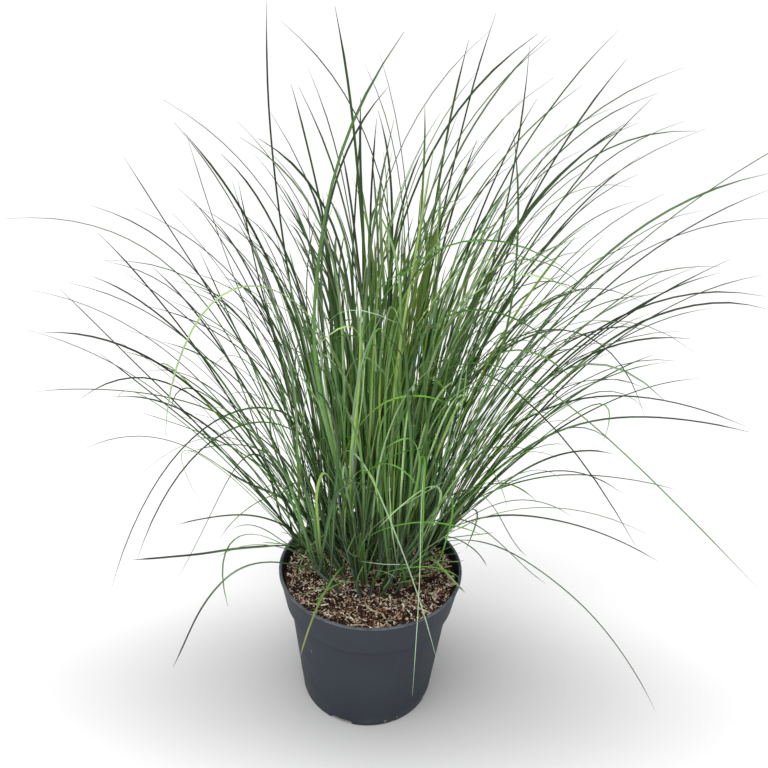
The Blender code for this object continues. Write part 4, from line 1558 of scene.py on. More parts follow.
class StripMesh:
    """Collects closed eight-sided strips into one mesh.

    Its tables say how far across the leaf each of the eight points is, and whether it is on the upper face.
    """

    across: tuple = (0.0, 0.225, 0.5, 0.775, 1.0, 0.75, 0.5, 0.25)
    upper: tuple = (0.5, 0.0, 0.0, 0.0, 0.5, 1.0, 1.0, 1.0)
    own_numbers: tuple = ("tone", "youth", "dryness", "bloom", "wear_and_shade", "pale")

    def __init__(self) -> None:
        """Start with nothing."""
        self.points: list[np.ndarray] = []
        self.faces: list[tuple[int, ...]] = []
        self.maps: list[np.ndarray] = []
        self.numbers: dict[str, list[np.ndarray]] = {"leaf_upper": []}
        self.numbers.update({"leaf_" + name: [] for name in self.own_numbers})
        self.count = 0

    def add(self, sections: np.ndarray, along: np.ndarray, **numbers: float | np.ndarray) -> None:
        """Add a strip.

        Args:
            sections: The eight points of each section.
            along: How far along the leaf each section is.
            **numbers: Its own numbers, each for all of it or for each section; nought where one isn't given.
        """
        rows = len(sections)
        self.faces += tube_faces(self.count, rows, SIDES)
        self.points.append(sections.reshape(-1, 3))
        self.maps.append(np.column_stack([np.tile(self.across, rows), np.repeat(along, SIDES)]))
        self.numbers["leaf_upper"].append(np.tile(self.upper, rows))
        for name in self.own_numbers:
            values = np.broadcast_to(numbers.get(name, 0.0), rows)
            self.numbers["leaf_" + name].append(np.repeat(values, SIDES))
        self.count += rows * SIDES

    def finish(self, name: str, smooth_angle: float) -> Object:
        """Make the mesh's object and shade it smooth.

        Args:
            name: The object's name.
            smooth_angle: The sharpest bend that is shaded smooth, in radians.

        Returns:
            The new object.
        """
        numbers = {label: np.concatenate(values) for label, values in self.numbers.items()}
        piece = mesh_piece(name, np.concatenate(self.points), self.faces, numbers, np.concatenate(self.maps))
        choose(piece)
        bpy.ops.object.shade_smooth_by_angle(angle=smooth_angle)
        return piece


@dataclass(frozen=True)
class KnownLeaf:
    """A leaf of a solid that stands out in the photograph: its tip, its width and its look."""

    tip: tuple[float, float, float]
    half_width: float
    look: LeafLook


@dataclass(frozen=True)
class ArchedLeaf:
    """A finer leaf that arches across the clump in the photograph."""

    shoot: int
    root: float
    half_width: float
    look: LeafLook
    places: tuple


KNOWN_LEAVES = (
    KnownLeaf((-0.150, -0.150, 0.380), 0.00150, LeafLook(0.9, youth=0.8, wear_and_shade=0.3, pale=0.35)),
    KnownLeaf((0.060, -0.150, 0.170), 0.00125, LeafLook(0.8, pale=0.75)),
    KnownLeaf((0.040, -0.150, 0.135), 0.00050, LeafLook(0.8, pale=0.7)),
    KnownLeaf((0.305, -0.150, 0.265), 0.00120, LeafLook(0.6, wear_and_shade=0.5, pale=0.2)),
    KnownLeaf((-0.060, -0.120, 0.145), 0.00130, LeafLook(0.25, youth=0.1, dryness=0.55)),
    KnownLeaf((-0.335, 0.030, 0.325), 0.00150, LeafLook(0.4, wear_and_shade=0.9)),
    KnownLeaf((-0.315, 0.000, 0.500), 0.00150, LeafLook(0.5, wear_and_shade=0.75)),
    KnownLeaf((-0.012, -0.100, 0.410), 0.00110, LeafLook(0.5)),
)

ARCHED_LEAVES = (
    ArchedLeaf(8, 1.0, 0.00130, LeafLook(0.6, youth=0.3), (
        (-0.020, -0.060, 0.335), (0.010, -0.075, 0.380), (0.035, -0.085, 0.390), (0.055, -0.095, 0.390))),
    ArchedLeaf(16, 0.95, 0.00095, LeafLook(0.55), (
        (-0.015, -0.065, 0.285), (0.000, -0.080, 0.320), (0.015, -0.090, 0.330), (0.040, -0.100, 0.310))),
    ArchedLeaf(8, 0.8, 0.00095, LeafLook(0.7, youth=0.5), (
        (-0.020, -0.060, 0.290), (-0.010, -0.080, 0.320), (0.000, -0.090, 0.315), (0.005, -0.095, 0.285))),
    ArchedLeaf(16, 0.4, 0.00100, LeafLook(0.6), (
        (0.005, -0.070, 0.245), (0.035, -0.085, 0.270), (0.060, -0.090, 0.270), (0.095, -0.095, 0.265))),
    ArchedLeaf(37, 0.9, 0.00085, LeafLook(0.6), (
        (-0.045, -0.050, 0.225), (-0.060, -0.055, 0.210), (-0.060, -0.040, 0.165))),
    ArchedLeaf(37, 0.35, 0.00080, LeafLook(0.5), (
        (-0.025, -0.055, 0.175), (-0.040, -0.060, 0.170), (-0.050, -0.070, 0.155))),
    ArchedLeaf(29, 0.25, 0.00095, LeafLook(0.5), (
        (0.020, -0.055, 0.190), (0.040, -0.060, 0.200), (0.060, -0.060, 0.200), (0.085, -0.055, 0.185))),
    ArchedLeaf(16, 0.85, 0.00065, LeafLook(0.9, pale=0.6), (
        (0.010, -0.070, 0.260), (0.030, -0.080, 0.285), (0.060, -0.090, 0.315))),
    ArchedLeaf(8, 0.9, 0.00130, LeafLook(0.3), (
        (-0.020, -0.045, 0.345), (-0.015, -0.055, 0.440), (0.010, -0.060, 0.480), (0.045, -0.060, 0.505),
        (0.085, -0.060, 0.510), (0.150, -0.050, 0.485))),
    ArchedLeaf(16, 0.7, 0.00110, LeafLook(0.25), (
        (-0.010, -0.060, 0.355), (-0.010, -0.065, 0.445), (0.000, -0.070, 0.480), (0.020, -0.075, 0.490),
        (0.040, -0.080, 0.495))),
    ArchedLeaf(11, 0.9, 0.00125, LeafLook(0.2), (
        (0.020, -0.060, 0.355), (0.025, -0.065, 0.425), (0.035, -0.070, 0.450), (0.070, -0.080, 0.460),
        (0.105, -0.085, 0.455), (0.140, -0.085, 0.435))),
    ArchedLeaf(6, 0.9, 0.00130, LeafLook(0.85, pale=0.3), (
        (0.040, -0.040, 0.365), (0.060, -0.045, 0.440), (0.080, -0.050, 0.475), (0.110, -0.055, 0.485),
        (0.165, -0.060, 0.465))),
    ArchedLeaf(16, 0.6, 0.00100, LeafLook(0.9, youth=0.8), (
        (-0.015, -0.060, 0.355), (-0.015, -0.080, 0.425), (-0.020, -0.090, 0.455),
        (-0.035, -0.090, 0.450), (-0.050, -0.095, 0.430))),
    ArchedLeaf(8, 0.6, 0.00075, LeafLook(0.8, pale=0.6), (
        (-0.040, -0.050, 0.345), (-0.045, -0.060, 0.415), (-0.035, -0.070, 0.455),
        (-0.020, -0.075, 0.460), (0.015, -0.085, 0.450))),
    ArchedLeaf(13, 0.9, 0.00110, LeafLook(0.1), (
        (-0.045, -0.055, 0.370), (-0.045, -0.065, 0.425), (-0.030, -0.075, 0.435),
        (-0.015, -0.080, 0.435), (0.015, -0.085, 0.420))),
    ArchedLeaf(27, 0.85, 0.00090, LeafLook(0.2, wear_and_shade=0.8), (
        (0.085, -0.030, 0.210), (0.100, -0.030, 0.200), (0.115, -0.030, 0.180))),
    ArchedLeaf(3, 0.2, 0.00060, LeafLook(1.0, pale=0.9), (
        (0.010, -0.056, 0.199), (0.020, -0.058, 0.2005), (0.035, -0.058, 0.2015))),
    ArchedLeaf(8, 0.95, 0.00230, LeafLook(0.9, youth=1.0, wear_and_shade=0.3), (
        (-0.005, -0.050, 0.350), (0.000, -0.060, 0.435), (0.000, -0.060, 0.490), (0.005, -0.060, 0.525),
        (0.020, -0.055, 0.565))),
    ArchedLeaf(11, 0.95, 0.00210, LeafLook(0.9, youth=0.9, wear_and_shade=0.3), (
        (0.015, -0.055, 0.350), (0.020, -0.060, 0.435), (0.025, -0.065, 0.490), (0.030, -0.060, 0.535),
        (0.035, -0.055, 0.575))),
    ArchedLeaf(16, 0.90, 0.00100, LeafLook(1.0, youth=1.0, wear_and_shade=0.2), (
        (0.005, -0.070, 0.380), (0.025, -0.080, 0.430), (0.040, -0.085, 0.475), (0.075, -0.080, 0.510))),
    ArchedLeaf(8, 0.70, 0.00165, LeafLook(0.7, youth=0.5), (
        (-0.020, -0.065, 0.315), (-0.015, -0.080, 0.380), (-0.015, -0.085, 0.430),
        (-0.015, -0.080, 0.465))),
    ArchedLeaf(19, 0.95, 0.00200, LeafLook(0.7, youth=0.3, wear_and_shade=0.2), (
        (0.055, -0.055, 0.355), (0.060, -0.060, 0.425), (0.075, -0.060, 0.475), (0.100, -0.055, 0.520))),
    ArchedLeaf(24, 0.95, 0.00190, LeafLook(0.9, youth=0.2, wear_and_shade=0.2), (
        (0.040, -0.055, 0.345), (0.045, -0.060, 0.420), (0.050, -0.065, 0.470), (0.065, -0.060, 0.520))),
)


@dataclass
class GrassClump:
    """All the shoots, each drawn along its own solid, with finer leaves between the solid's blades.

    Widths are half widths. Collars are shares of the sheath's length, and a young leaf's is in metres.
    Side lengths are shares of the blades that a side leaf runs between. The ranges that say where the
    clump is full are of places from left to right, and of heights. Reaches round a middle are distances
    from it.
    """

    side_leaves: int = 2
    full_side_leaves: int = 8
    arching_leaves: int = 1
    young_leaves: int = 3
    width_range: tuple = (0.00140, 0.00230)
    side_width_range: tuple = (0.00090, 0.00155)
    arching_width_range: tuple = (0.00075, 0.00130)
    young_width_range: tuple = (0.0006, 0.0010)
    side_collars: tuple = (0.45, 0.96)
    side_blends: tuple = (0.15, 0.6)
    side_lengths: tuple = (0.55, 0.98)
    tip_scatter: float = 0.014
    scatter_shares: tuple = (1, 1, 0.4)
    arching_collars: tuple = (0.35, 0.95)
    arching_rises: tuple = (0.10, 0.24)
    arching_reaches: tuple = (0.04, 0.11)
    young_collars: tuple = (0.010, 0.026)
    young_lengths: tuple = (0.035, 0.085)
    front_share: float = 0.72
    front_range: tuple = (0.05, 0.12)
    thin_share: float = 0.88
    full_share: float = 1.16
    side_shares: tuple = (0.78, 0.42)
    full_from_left: tuple = (-0.22, 0.03)
    full_to_right: tuple = (0.14, 0.22)
    full_from_below: tuple = (0.24, 0.40)
    right_loss: float = 0.3
    lime_middle: tuple = (0.020, 0.000, 0.460)
    lime_reach: float = 0.075
    youth_chances: tuple = (0.10, 0.55)
    youth_range: tuple = (0.4, 1.0)
    dry_chance: float = 0.004
    dry_range: tuple = (0.35, 0.8)
    pale_sheen_chance: float = 0.11
    pale_sheen_range: tuple = (0.3, 0.8)
    core_middle: tuple = (0.000, 0.000, 0.300)
    core_reach: tuple = (0.12, 0.25)
    far_reach: tuple = (0.26, 0.40)
    # How much the full middle of the clump keeps leaves from the darker outer tint, which is partly
    # weathering and partly painted shade.
    shield: float = 0.55
    far_unshielded: float = 0.7
    wear_and_shade_spread: float = 0.2
    known_reach: float = 0.015
    bloom_range: tuple = (0.022, 0.034)
    sheath_below: float = 0.03
    inner_layer: float = -3.5
    arched_twist: float = 0.8
    arching_lowest: float = 0.235
    bend_range: tuple = (0.0, 0.34)
    bend_shares: tuple = (0.35, -1.0)
    neighbour_reach: float = 0.022
    clear_of_others: float = 0.0021
    clear_of_soil: float = 0.002
    rim_band: tuple = (-0.008, 0.004)
    over_rim: float = 0.1585
    over_floor: float = 0.02
    tries: int = 24
    seed: int = 17
    smooth_angle: float = math.radians(62)
    finish: LeafFinish = LeafFinish()
    shaper: LeafShaper = LeafShaper()

    def __post_init__(self) -> None:
        """Read the shoots from the frame, note the blades near each, and start the source of chance."""
        self.rng = np.random.default_rng(self.seed)
        self.soil, self.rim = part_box("potting_soil")[1].z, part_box("pot")[1].x
        names = sorted(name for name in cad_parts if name.startswith("shoot_"))
        self.shoots = [read_shoot(int(name[-2:]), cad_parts[name], self.soil - 0.0005, self.rim)
                       for name in names]
        self.near = {shoot.number: [curve for other in self.shoots for curve in other.curves
                                    if np.linalg.norm(other.foot - shoot.foot) < self.neighbour_reach]
                     for shoot in self.shoots}

    def by_chance(self, chance: float, limits: tuple[float, float]) -> float:
        """Draw a number between two limits by some chance, and nought otherwise."""
        return float(self.rng.uniform() < chance) * self.rng.uniform(*limits)

    def either_flank(self) -> int:
        """Choose one flank of a sheath, 1 or -1."""
        return 1 if self.rng.uniform() < 0.5 else -1

    def fullness(self, tip: np.ndarray) -> float:
        """Say how thick the clump is round a leaf's tip.

        Args:
            tip: The tip's place.

        Returns:
            From 0 where it is thin to 1 where it is full.
        """
        from_left = eased(tip[0], *self.full_from_left)
        from_below = eased(tip[2], *self.full_from_below)
        return float(from_left * from_below * (1 - self.right_loss * eased(tip[0], *self.full_to_right)))

    def look(self, controls: np.ndarray) -> LeafLook:
        """Choose how a leaf looks.

        Args:
            controls: The control points of its blade.

        Returns:
            Its look.
        """
        rng = self.rng
        full = self.fullness(controls[3])
        middle = cubic(controls, np.array([0.6]))[0]
        near = math.exp(-float(np.linalg.norm(middle - self.lime_middle) / self.lime_reach) ** 2)
        tone = rng.uniform(0.0, 0.9 + 0.1 * full) ** (1.7 - 0.6 * full)
        youth = self.by_chance(self.youth_chances[0] + self.youth_chances[1] * near, self.youth_range)
        dryness = self.by_chance(self.dry_chance, self.dry_range)
        # Leaves far from the clump's middle, and out of its full parts, get more of the darker outer tint,
        # which is partly weathering and partly painted shade.
        reach = np.linalg.norm(controls[3] - self.core_middle)
        shielded = self.shield * full * (1 - self.far_unshielded * float(eased(reach, *self.far_reach)))
        worn_and_shaded = float(np.clip(rng.normal(1.0 - shielded, self.wear_and_shade_spread), 0, 1))
        wear_and_shade = float(eased(reach, *self.core_reach)) * worn_and_shaded
        # Pale tint: partly a real pale leaf, partly a painted sheen.
        pale = self.by_chance(self.pale_sheen_chance, self.pale_sheen_range)
        return LeafLook(tone, youth, wear_and_shade, pale, dryness)

    def own_leaves(self, shoot: ShootForm) -> list[Leaf]:
        """Plan the leaves that the shoot's solid has.

        Args:
            shoot: The shoot.

        Returns:
            Its five leaves.
        """
        rng = self.rng
        leaves = []
        for curve in shoot.curves:
            start = curve[0] - shoot.foot
            offset = float(start @ shoot.side)
            collar = float(start @ shoot.axis)
            outer = abs(offset) > 0.0006
            low = outer and collar < shoot.heights[2] + 0.001
            heading = (curve[3] - curve[0]) @ shoot.side
            flank = int(np.sign(offset if outer else heading)) or 1
            look = self.look(curve)
            near = float(eased(-curve[3][1], *self.front_range))
            half_width = rng.uniform(*self.width_range) * (1 + (self.front_share - 1) * near)
            half_width *= self.thin_share + (self.full_share - self.thin_share) * self.fullness(curve[3])
            twist = rng.normal(0, 0.4)
            leaf = Leaf(LeafKind.FULL, curve, flank, collar, self.inner_layer, half_width, twist,
                        replace(look, youth=look.youth * (1 - near)), shoot.top * 0.55)
            if outer:
                leaf.layer = 2.0 if low else 1.0
                leaf.sheath_from = 0.0
            for known in KNOWN_LEAVES:
                if np.linalg.norm(curve[3] - known.tip) < self.known_reach:
                    leaf.half_width, leaf.look = known.half_width, known.look
            leaves.append(leaf)
        return leaves

    def rooted(self, shoot: ShootForm, flank: int, collar: float) -> np.ndarray:
        """Find the place on a sheath's flank where a finer leaf leaves it."""
        return (shoot.foot + shoot.axis * collar
                + shoot.side * flank * (shoot.half(collar) - self.shaper.layer_step))

    def fine_leaf(self, kind: LeafKind, controls: np.ndarray, flank: int, collar: float, half_width: float,
                  twist: float, look: LeafLook) -> Leaf:
        """Plan a finer leaf that comes out between the solid's blades."""
        return Leaf(kind, controls, flank, collar, 0.5, half_width, twist, look,
                    max(collar - self.sheath_below, 0))

    def arched_leaf(self, shoot: ShootForm, given: ArchedLeaf) -> Leaf:
        """Plan one of the finer leaves that the photograph shows apart.

        Args:
            shoot: The shoot that it grows on.
            given: What is known of it.

        Returns:
            The leaf.
        """
        collar = given.root * shoot.top
        flank = 1 if (np.array(given.places[-1]) - shoot.foot) @ shoot.side > 0 else -1
        curve = fitted_cubic(np.vstack([self.rooted(shoot, flank, collar), given.places]), by_length=True)
        twist = self.arched_twist * math.tanh((curve[3] - curve[0])[0] / 0.03) + self.rng.normal(0, 0.15)
        return self.fine_leaf(LeafKind.FULL, curve, flank, collar, given.half_width, twist, given.look)

    def side_leaf(self, shoot: ShootForm) -> Leaf:
        """Plan a finer leaf that runs between one of the solid's blades and one of a neighbour's.

        Args:
            shoot: The shoot that it grows on.

        Returns:
            The leaf.
        """
        rng = self.rng
        weights = np.array([1 + 3 * self.fullness(curve[3]) for curve in shoot.curves])
        first = shoot.curves[rng.choice(len(shoot.curves), p=weights / weights.sum())]
        near = self.near[shoot.number]
        second = near[rng.choice(len(near))]
        controls = first + (second - first) * rng.uniform(*self.side_blends)
        controls = shortened(controls, rng.uniform(*self.side_lengths))
        flank = self.either_flank()
        collar = rng.uniform(*self.side_collars) * shoot.top
        controls[0] = self.rooted(shoot, flank, collar)
        controls[3] += rng.normal(0, self.tip_scatter, 3) * np.array(self.scatter_shares)
        bend = rng.uniform(*self.bend_range) * float(np.linalg.norm((controls[3] - controls[0])[:2]))
        controls[2:, 2] += bend * np.array(self.bend_shares)
        look = self.look(controls)
        share = self.side_shares[0] + self.side_shares[1] * self.fullness(controls[3])
        half_width = rng.uniform(*self.side_width_range) * share
        return self.fine_leaf(LeafKind.SIDE, controls, flank, collar, half_width, rng.normal(0, 0.5), look)

    def arching_leaf(self, shoot: ShootForm) -> Leaf:
        """Plan a finer leaf of middle length that rises, then bends over to any side.

        Args:
            shoot: The shoot that it grows on.

        Returns:
            The leaf.
        """
        rng = self.rng
        flank = self.either_flank()
        collar = rng.uniform(*self.arching_collars) * shoot.top
        start = self.rooted(shoot, flank, collar)
        turn = rng.uniform(0, math.tau)
        heading = np.array([math.cos(turn), math.sin(turn), 0.0])
        rise = rng.uniform(*self.arching_rises)
        reach = rng.uniform(*self.arching_reaches)
        controls = np.array([start, start + shoot.axis * rise * 0.7,
                             start + shoot.axis * rise * 1.1 + heading * reach * 0.4,
                             start + heading * reach + shoot.axis * rise * rng.uniform(0.6, 1.0)])
        controls[3, 2] = max(controls[3, 2], self.arching_lowest)
        look = self.look(controls)
        return self.fine_leaf(LeafKind.SIDE, controls, flank, collar, rng.uniform(*self.arching_width_range),
                              rng.normal(0, 0.5), replace(look, youth=look.youth * 0.6, wear_and_shade=0.0))

    def young_leaf(self, shoot: ShootForm) -> Leaf:
        """Plan a short thin leaf that comes out low on the sheath.

        Args:
            shoot: The shoot that it grows on.

        Returns:
            The leaf.
        """
        rng = self.rng
        flank = self.either_flank()
        collar = rng.uniform(*self.young_collars)
        start = shoot.foot + shoot.axis * collar + shoot.side * flank * (shoot.half(collar) + 0.0003)
        length = rng.uniform(*self.young_lengths)
        out = unit(shoot.side * flank * rng.uniform(0.2, 0.8) + shoot.outward * rng.normal(0.1, 0.5)
                   + shoot.axis * rng.uniform(1.0, 1.8))
        arch = unit(out * np.array([1, 1, 0]) + UP * rng.uniform(0.2, 1.1))
        controls = np.array([start, start + unit(out + shoot.axis * 2) * length * 0.35,
                             start + out * length * 0.7, start + out * length * 0.65 + arch * length * 0.35])
        half_width = rng.uniform(*self.young_width_range)
        twist = rng.normal(0, 0.5)
        look = LeafLook(rng.uniform(0, 0.9), rng.uniform(0, 0.25), pale=0.1)
        return Leaf(LeafKind.YOUNG, controls, flank, collar, 1.5, half_width, twist, look)

    def side_count(self, shoot: ShootForm) -> int:
        """Say how many side leaves a shoot gets: more where the clump is full."""
        full = np.mean([self.fullness(curve[3]) for curve in shoot.curves])
        return self.side_leaves + round(self.full_side_leaves * float(full))

    def is_clear(self, leaf: Leaf, taken: KDTree) -> bool:
        """Say whether a leaf keeps off the others, once it is away from its sheath, and off the pot.

        Args:
            leaf: The leaf.
            taken: Places of the other leaves.

        Returns:
            Whether it is clear of them.
        """
        line = cubic(leaf.controls, np.linspace(0.0, 1, 22))
        beyond = np.hypot(line[:, 0], line[:, 1]) - self.rim
        outside = np.where(beyond < self.rim_band[1], self.over_rim, self.over_floor)
        lowest = np.where(beyond < self.rim_band[0], self.soil + self.clear_of_soil, outside)
        if (line[3:, 2] < lowest[3:]).any():
            return False
        return all(taken.find(point)[2] > self.clear_of_others for point in line[7:])

    def planned(self) -> dict[int, list[Leaf]]:
        """Plan every leaf of the clump.

        Returns:
            The leaves of each shoot, by its number.
        """
        spread = np.linspace(0.12, 1, 40)
        lines = [cubic(curve, spread) for shoot in self.shoots for curve in shoot.curves]
        leaves = {shoot.number: self.own_leaves(shoot) for shoot in self.shoots}
        by_number = {shoot.number: shoot for shoot in self.shoots}
        for given in ARCHED_LEAVES:
            leaf = self.arched_leaf(by_number[given.shoot], given)
            leaves[given.shoot].append(leaf)
            lines.append(cubic(leaf.controls, spread))
        wanted = ((self.side_leaf, self.side_count), (self.arching_leaf, lambda shoot: self.arching_leaves),
                  (self.young_leaf, lambda shoot: self.young_leaves))
        for make, count in wanted:
            for shoot in self.shoots:
                taken = KDTree(sum(len(line) for line in lines))
                for index, point in enumerate(np.concatenate(lines)):
                    taken.insert(point, index)
                taken.balance()
                for _ in range(count(shoot)):
                    for _ in range(self.tries):
                        leaf = make(shoot)
                        if self.is_clear(leaf, taken):
                            leaves[shoot.number].append(leaf)
                            lines.append(cubic(leaf.controls, spread))
                            break
        return leaves

    def drawn(self, shoot: ShootForm, leaves: list[Leaf]) -> Object:
        """Draw one shoot: its core and all its leaves.

        Args:
            shoot: The shoot.
            leaves: Its leaves.

        Returns:
            The shoot's piece.
        """
        strips = StripMesh()
        front = float(eased(-shoot.foot[1], *self.bloom_range))
        bloom = max(front, self.rng.uniform(0.0, 0.5))
        core = self.shaper.stem_sections(shoot)
        strips.add(core, np.linspace(-1.2, -0.1, len(core)), tone=0.3, bloom=bloom)
        for leaf in leaves:
            look = leaf.look
            sections, along = self.shaper.sections(leaf, shoot, self.rng.uniform(0, 1))
            youth = look.youth * eased(along, 0.02, 0.35) * (1 - 0.7 * eased(along, 0.75, 1.0))
            dryness = look.dryness * eased(along, 0.2, 0.9)
            all_pale = leaf.kind is LeafKind.FULL and look.wear_and_shade == 0
            pale = look.pale * (1 if all_pale else eased(along, 0.20, 0.55))
            strips.add(sections, along, tone=look.tone, youth=youth, dryness=dryness, bloom=bloom,
                       wear_and_shade=look.wear_and_shade, pale=pale)
        return strips.finish(f"shoot_{shoot.number:02d}_leaves", self.smooth_angle)

    def build(self, ribs: NodeTree, specks: NodeTree) -> None:
        """Model and dress every shoot.

        Args:
            ribs: The group for lengthwise ribs.
            specks: The group for small specks.
        """
        material = self.finish.build(ribs, specks)
        leaves = self.planned()
        LOG.info("leaves: %d", sum(len(group) for group in leaves.values()))
        for shoot in self.shoots:
            piece = self.drawn(shoot, leaves[shoot.number])
            dress(piece, material, (f"shoot_{shoot.number:02d}",))


@dataclass
class DeadLeaves:
    """The dead leaves that lie on the potting mix, drawn as thin curled ribbons."""

    curl: tuple = ((-0.0015, -0.0420), (-0.0040, -0.0470), (-0.0042, -0.0540), (-0.0005, -0.0605),
                   (0.0062, -0.0645), (0.0140, -0.0665))
    scrap: tuple = ((0.0080, -0.0655), (0.0130, -0.0690), (0.0165, -0.0740))
    height: float = 0.1479
    stretches: int = 28
    most_bends: int = 4
    thickness: float = 0.00018
    roll: float = math.radians(50)
    smooth_angle: float = math.radians(60)
    finish: StrawFinish = StrawFinish()

    def ribbon(self, name: str, route: tuple, width: float, lift: float) -> Object:
        """Model one dead leaf along a route over the mix.

        Args:
            name: The piece's name.
            route: Points that it passes.
            width: Its width.
            lift: How far its middle stands off the mix.

        Returns:
            The leaf's piece.
        """
        stops = np.array(route)
        shares = np.linspace(0, 1, self.stretches + 1)
        at = np.linspace(0, 1, len(stops))
        degree = min(len(stops) - 1, self.most_bends)
        x, y = (np.polyval(np.polyfit(at, stops[:, axis], degree), shares) for axis in (0, 1))
        height = self.height + width * 0.25 + lift * np.sin(shares * math.pi) ** 2
        line = np.column_stack([x, y, height])
        ways = unit(np.gradient(line, axis=0))
        across = unit(np.cross(ways, UP))
        roll = self.roll * np.sin(shares * math.tau * 0.9 + 0.4)
        flat = across * np.cos(roll)[:, None] + UP * np.sin(roll)[:, None]
        rise = np.cross(flat, ways)
        half = width / 2 * (1 - 0.75 * np.abs(2 * shares - 1) ** 3)
        sections = np.zeros((len(line), SIDES, 3))
        for column, place in enumerate((-1, -0.55, 0, 0.55, 1, 0.5, 0, -0.5)):
            thick = self.thickness if column > 4 else 0.0
            bowl = abs(place) ** 1.5 * half * 0.45 + thick
            sections[:, column] = line + flat * (place * half)[:, None] + rise * bowl[:, None]
        strips = StripMesh()
        strips.add(sections, shares, tone=0.5, dryness=1.0)
        return strips.finish(name, self.smooth_angle)

    def build(self, ribs: NodeTree) -> None:
        """Model and dress both.

        Args:
            ribs: The group for lengthwise ribs.
        """
        material = self.finish.build(ribs)
        dress(self.ribbon("dead_leaf_curl", self.curl, 0.0016, 0.0009), material,
              ("dry_leaf_01",))
        dress(self.ribbon("dead_leaf_scrap", self.scrap, 0.0018, 0.0003), material,
              ("dry_leaf_02",))


@dataclass(frozen=True)
class Lamp:
    """A soft square lamp: its place, the point that it faces, its width and its power in watts."""

    name: str
    place: tuple[float, float, float]
    aim: tuple[float, float, float]
    size: float
    power: float

    def add(self) -> None:
        """Add the lamp to the scene."""
        data = bpy.data.lights.new(self.name, "AREA")
        data.size = self.size
        data.energy = self.power
        lamp = bpy.data.objects.new(self.name, data)
        turn = (Vector(self.aim) - Vector(self.place)).to_track_quat("-Z", "Y")
        lamp.matrix_world = Matrix.Translation(self.place) @ turn.to_matrix().to_4x4()
        bpy.context.scene.collection.objects.link(lamp)


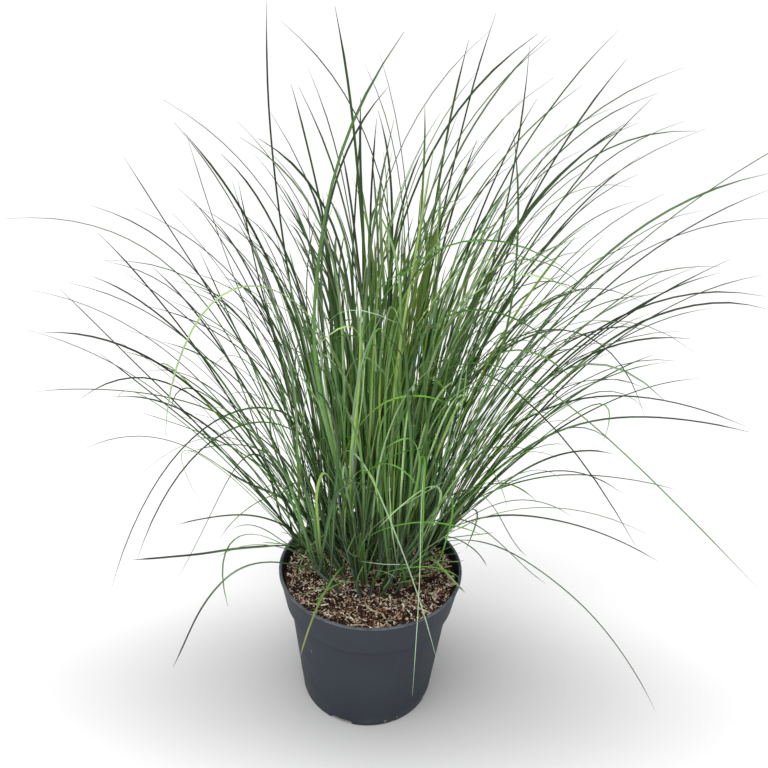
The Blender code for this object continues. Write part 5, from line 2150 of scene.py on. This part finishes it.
@dataclass
class Studio:
    """Camera at the photograph's angle, pale floor with a soft painted shadow round the pot, white
    surroundings and soft lamps.
    """

    camera_place: tuple = (0.0, -0.588, 0.6287)
    pitch: float = math.radians(24.5)
    yaw: float = math.radians(0.61)
    roll: float = math.radians(2.32)
    focal_share: float = 700 / 768
    sensor: float = 36.0
    floor_size: float = 60.0
    overhead_strength: float = 1.00
    overhead_angle: float = math.radians(62)
    overhead_lean: tuple = (math.radians(5), math.radians(-3), 0.0)
    floor_tone: tuple = (0.83, 0.83, 0.83)
    # Painted shadow round the pot: its grey, its middle front to back, its squeeze and its reach.
    painted_shadow_tone: tuple = (0.545, 0.545, 0.545)
    painted_shadow_middle: float = -0.025
    painted_shadow_squeeze: float = 3.3
    painted_shadow_reach: tuple = (0.05, 0.60)
    sky_strength: float = 0.26
    seen_sky_strength: float = 1.05
    lamps: tuple = (Lamp("side", (-1.5, -0.9, 0.9), (0, 0, 0.2), 1.0, 8),
                    Lamp("front", (0.3, -2.2, 0.75), (0, 0, 0.35), 1.4, 16))

    def add_camera(self) -> None:
        """Add the camera."""
        data = bpy.data.cameras.new("camera")
        data.sensor_width = self.sensor
        data.lens = self.focal_share * self.sensor
        camera = bpy.data.objects.new("camera", data)
        camera.matrix_world = (Matrix.Translation(self.camera_place) @ Matrix.Rotation(-self.yaw, 4, "Z")
                               @ Matrix.Rotation(math.pi / 2 - self.pitch, 4, "X")
                               @ Matrix.Rotation(self.roll, 4, "Z"))
        bpy.context.scene.collection.objects.link(camera)
        bpy.context.scene.camera = camera

    def add_floor(self) -> None:
        """Add the pale floor, with a soft grey shadow painted round the pot."""
        clear_choice()
        bpy.ops.mesh.primitive_plane_add(size=self.floor_size)
        floor = bpy.context.object
        floor.name = "floor"
        material, board, shader = new_material("studio_floor")
        x, y, _ = board.parts(board.place())
        # Painted shadow: the floor is painted grey in a squeezed ellipse round the pot's foot, fading out to
        # the floor's tone.
        span = board.times(board.math("SUBTRACT", y, self.painted_shadow_middle), self.painted_shadow_squeeze)
        away = board.math("SQRT", board.math("ADD", board.times(x, x), board.times(span, span)))
        tone = board.mixed(board.ranged(away, *self.painted_shadow_reach), self.painted_shadow_tone, self.floor_tone)
        board.feed(shader.inputs["Base Color"], tone)
        shader.inputs["Roughness"].default_value = 0.9
        shader.inputs["Specular IOR Level"].default_value = 0.1
        floor.data.materials.append(material)

    def add_sky(self) -> None:
        """Surround the part with even white light."""
        world = bpy.data.worlds.new("studio")
        world.use_nodes = True
        board = NodeBoard(world.node_tree)
        seen = board.add("ShaderNodeLightPath").outputs["Is Camera Ray"]
        sky = board.add("ShaderNodeBackground")
        strength = board.ranged(seen, 0.0, 1.0, self.sky_strength, self.seen_sky_strength)
        board.feed(sky.inputs["Strength"], strength)
        board.feed(board.add("ShaderNodeOutputWorld").inputs["Surface"], sky.outputs[0])
        sky.inputs["Color"].default_value = (1, 1, 1, 1)
        bpy.context.scene.world = world
        bpy.context.scene.view_settings.view_transform = "Standard"

    def add_overhead(self) -> None:
        """Add the broad lamp overhead, alike over the whole floor."""
        data = bpy.data.lights.new("overhead", "SUN")
        data.energy = self.overhead_strength * math.pi
        data.angle = self.overhead_angle
        lamp = bpy.data.objects.new("overhead", data)
        lamp.rotation_euler = self.overhead_lean
        bpy.context.scene.collection.objects.link(lamp)

    def build(self) -> None:
        """Set the studio up."""
        self.add_camera()
        self.add_floor()
        self.add_sky()
        self.add_overhead()
        for lamp in self.lamps:
            lamp.add()


def main() -> None:
    """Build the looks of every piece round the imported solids."""
    logging.basicConfig(level=logging.INFO, format="%(name)s: %(message)s")
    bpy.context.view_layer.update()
    ribs = lengthwise_ribs()
    specks = scattered_specks()
    Studio().build()
    NurseryPot().build(specks)
    PottingMix().build()
    GrassClump().build(ribs, specks)
    DeadLeaves().build(ribs)
    clear_choice()


if __name__ == "__main__":
    main()
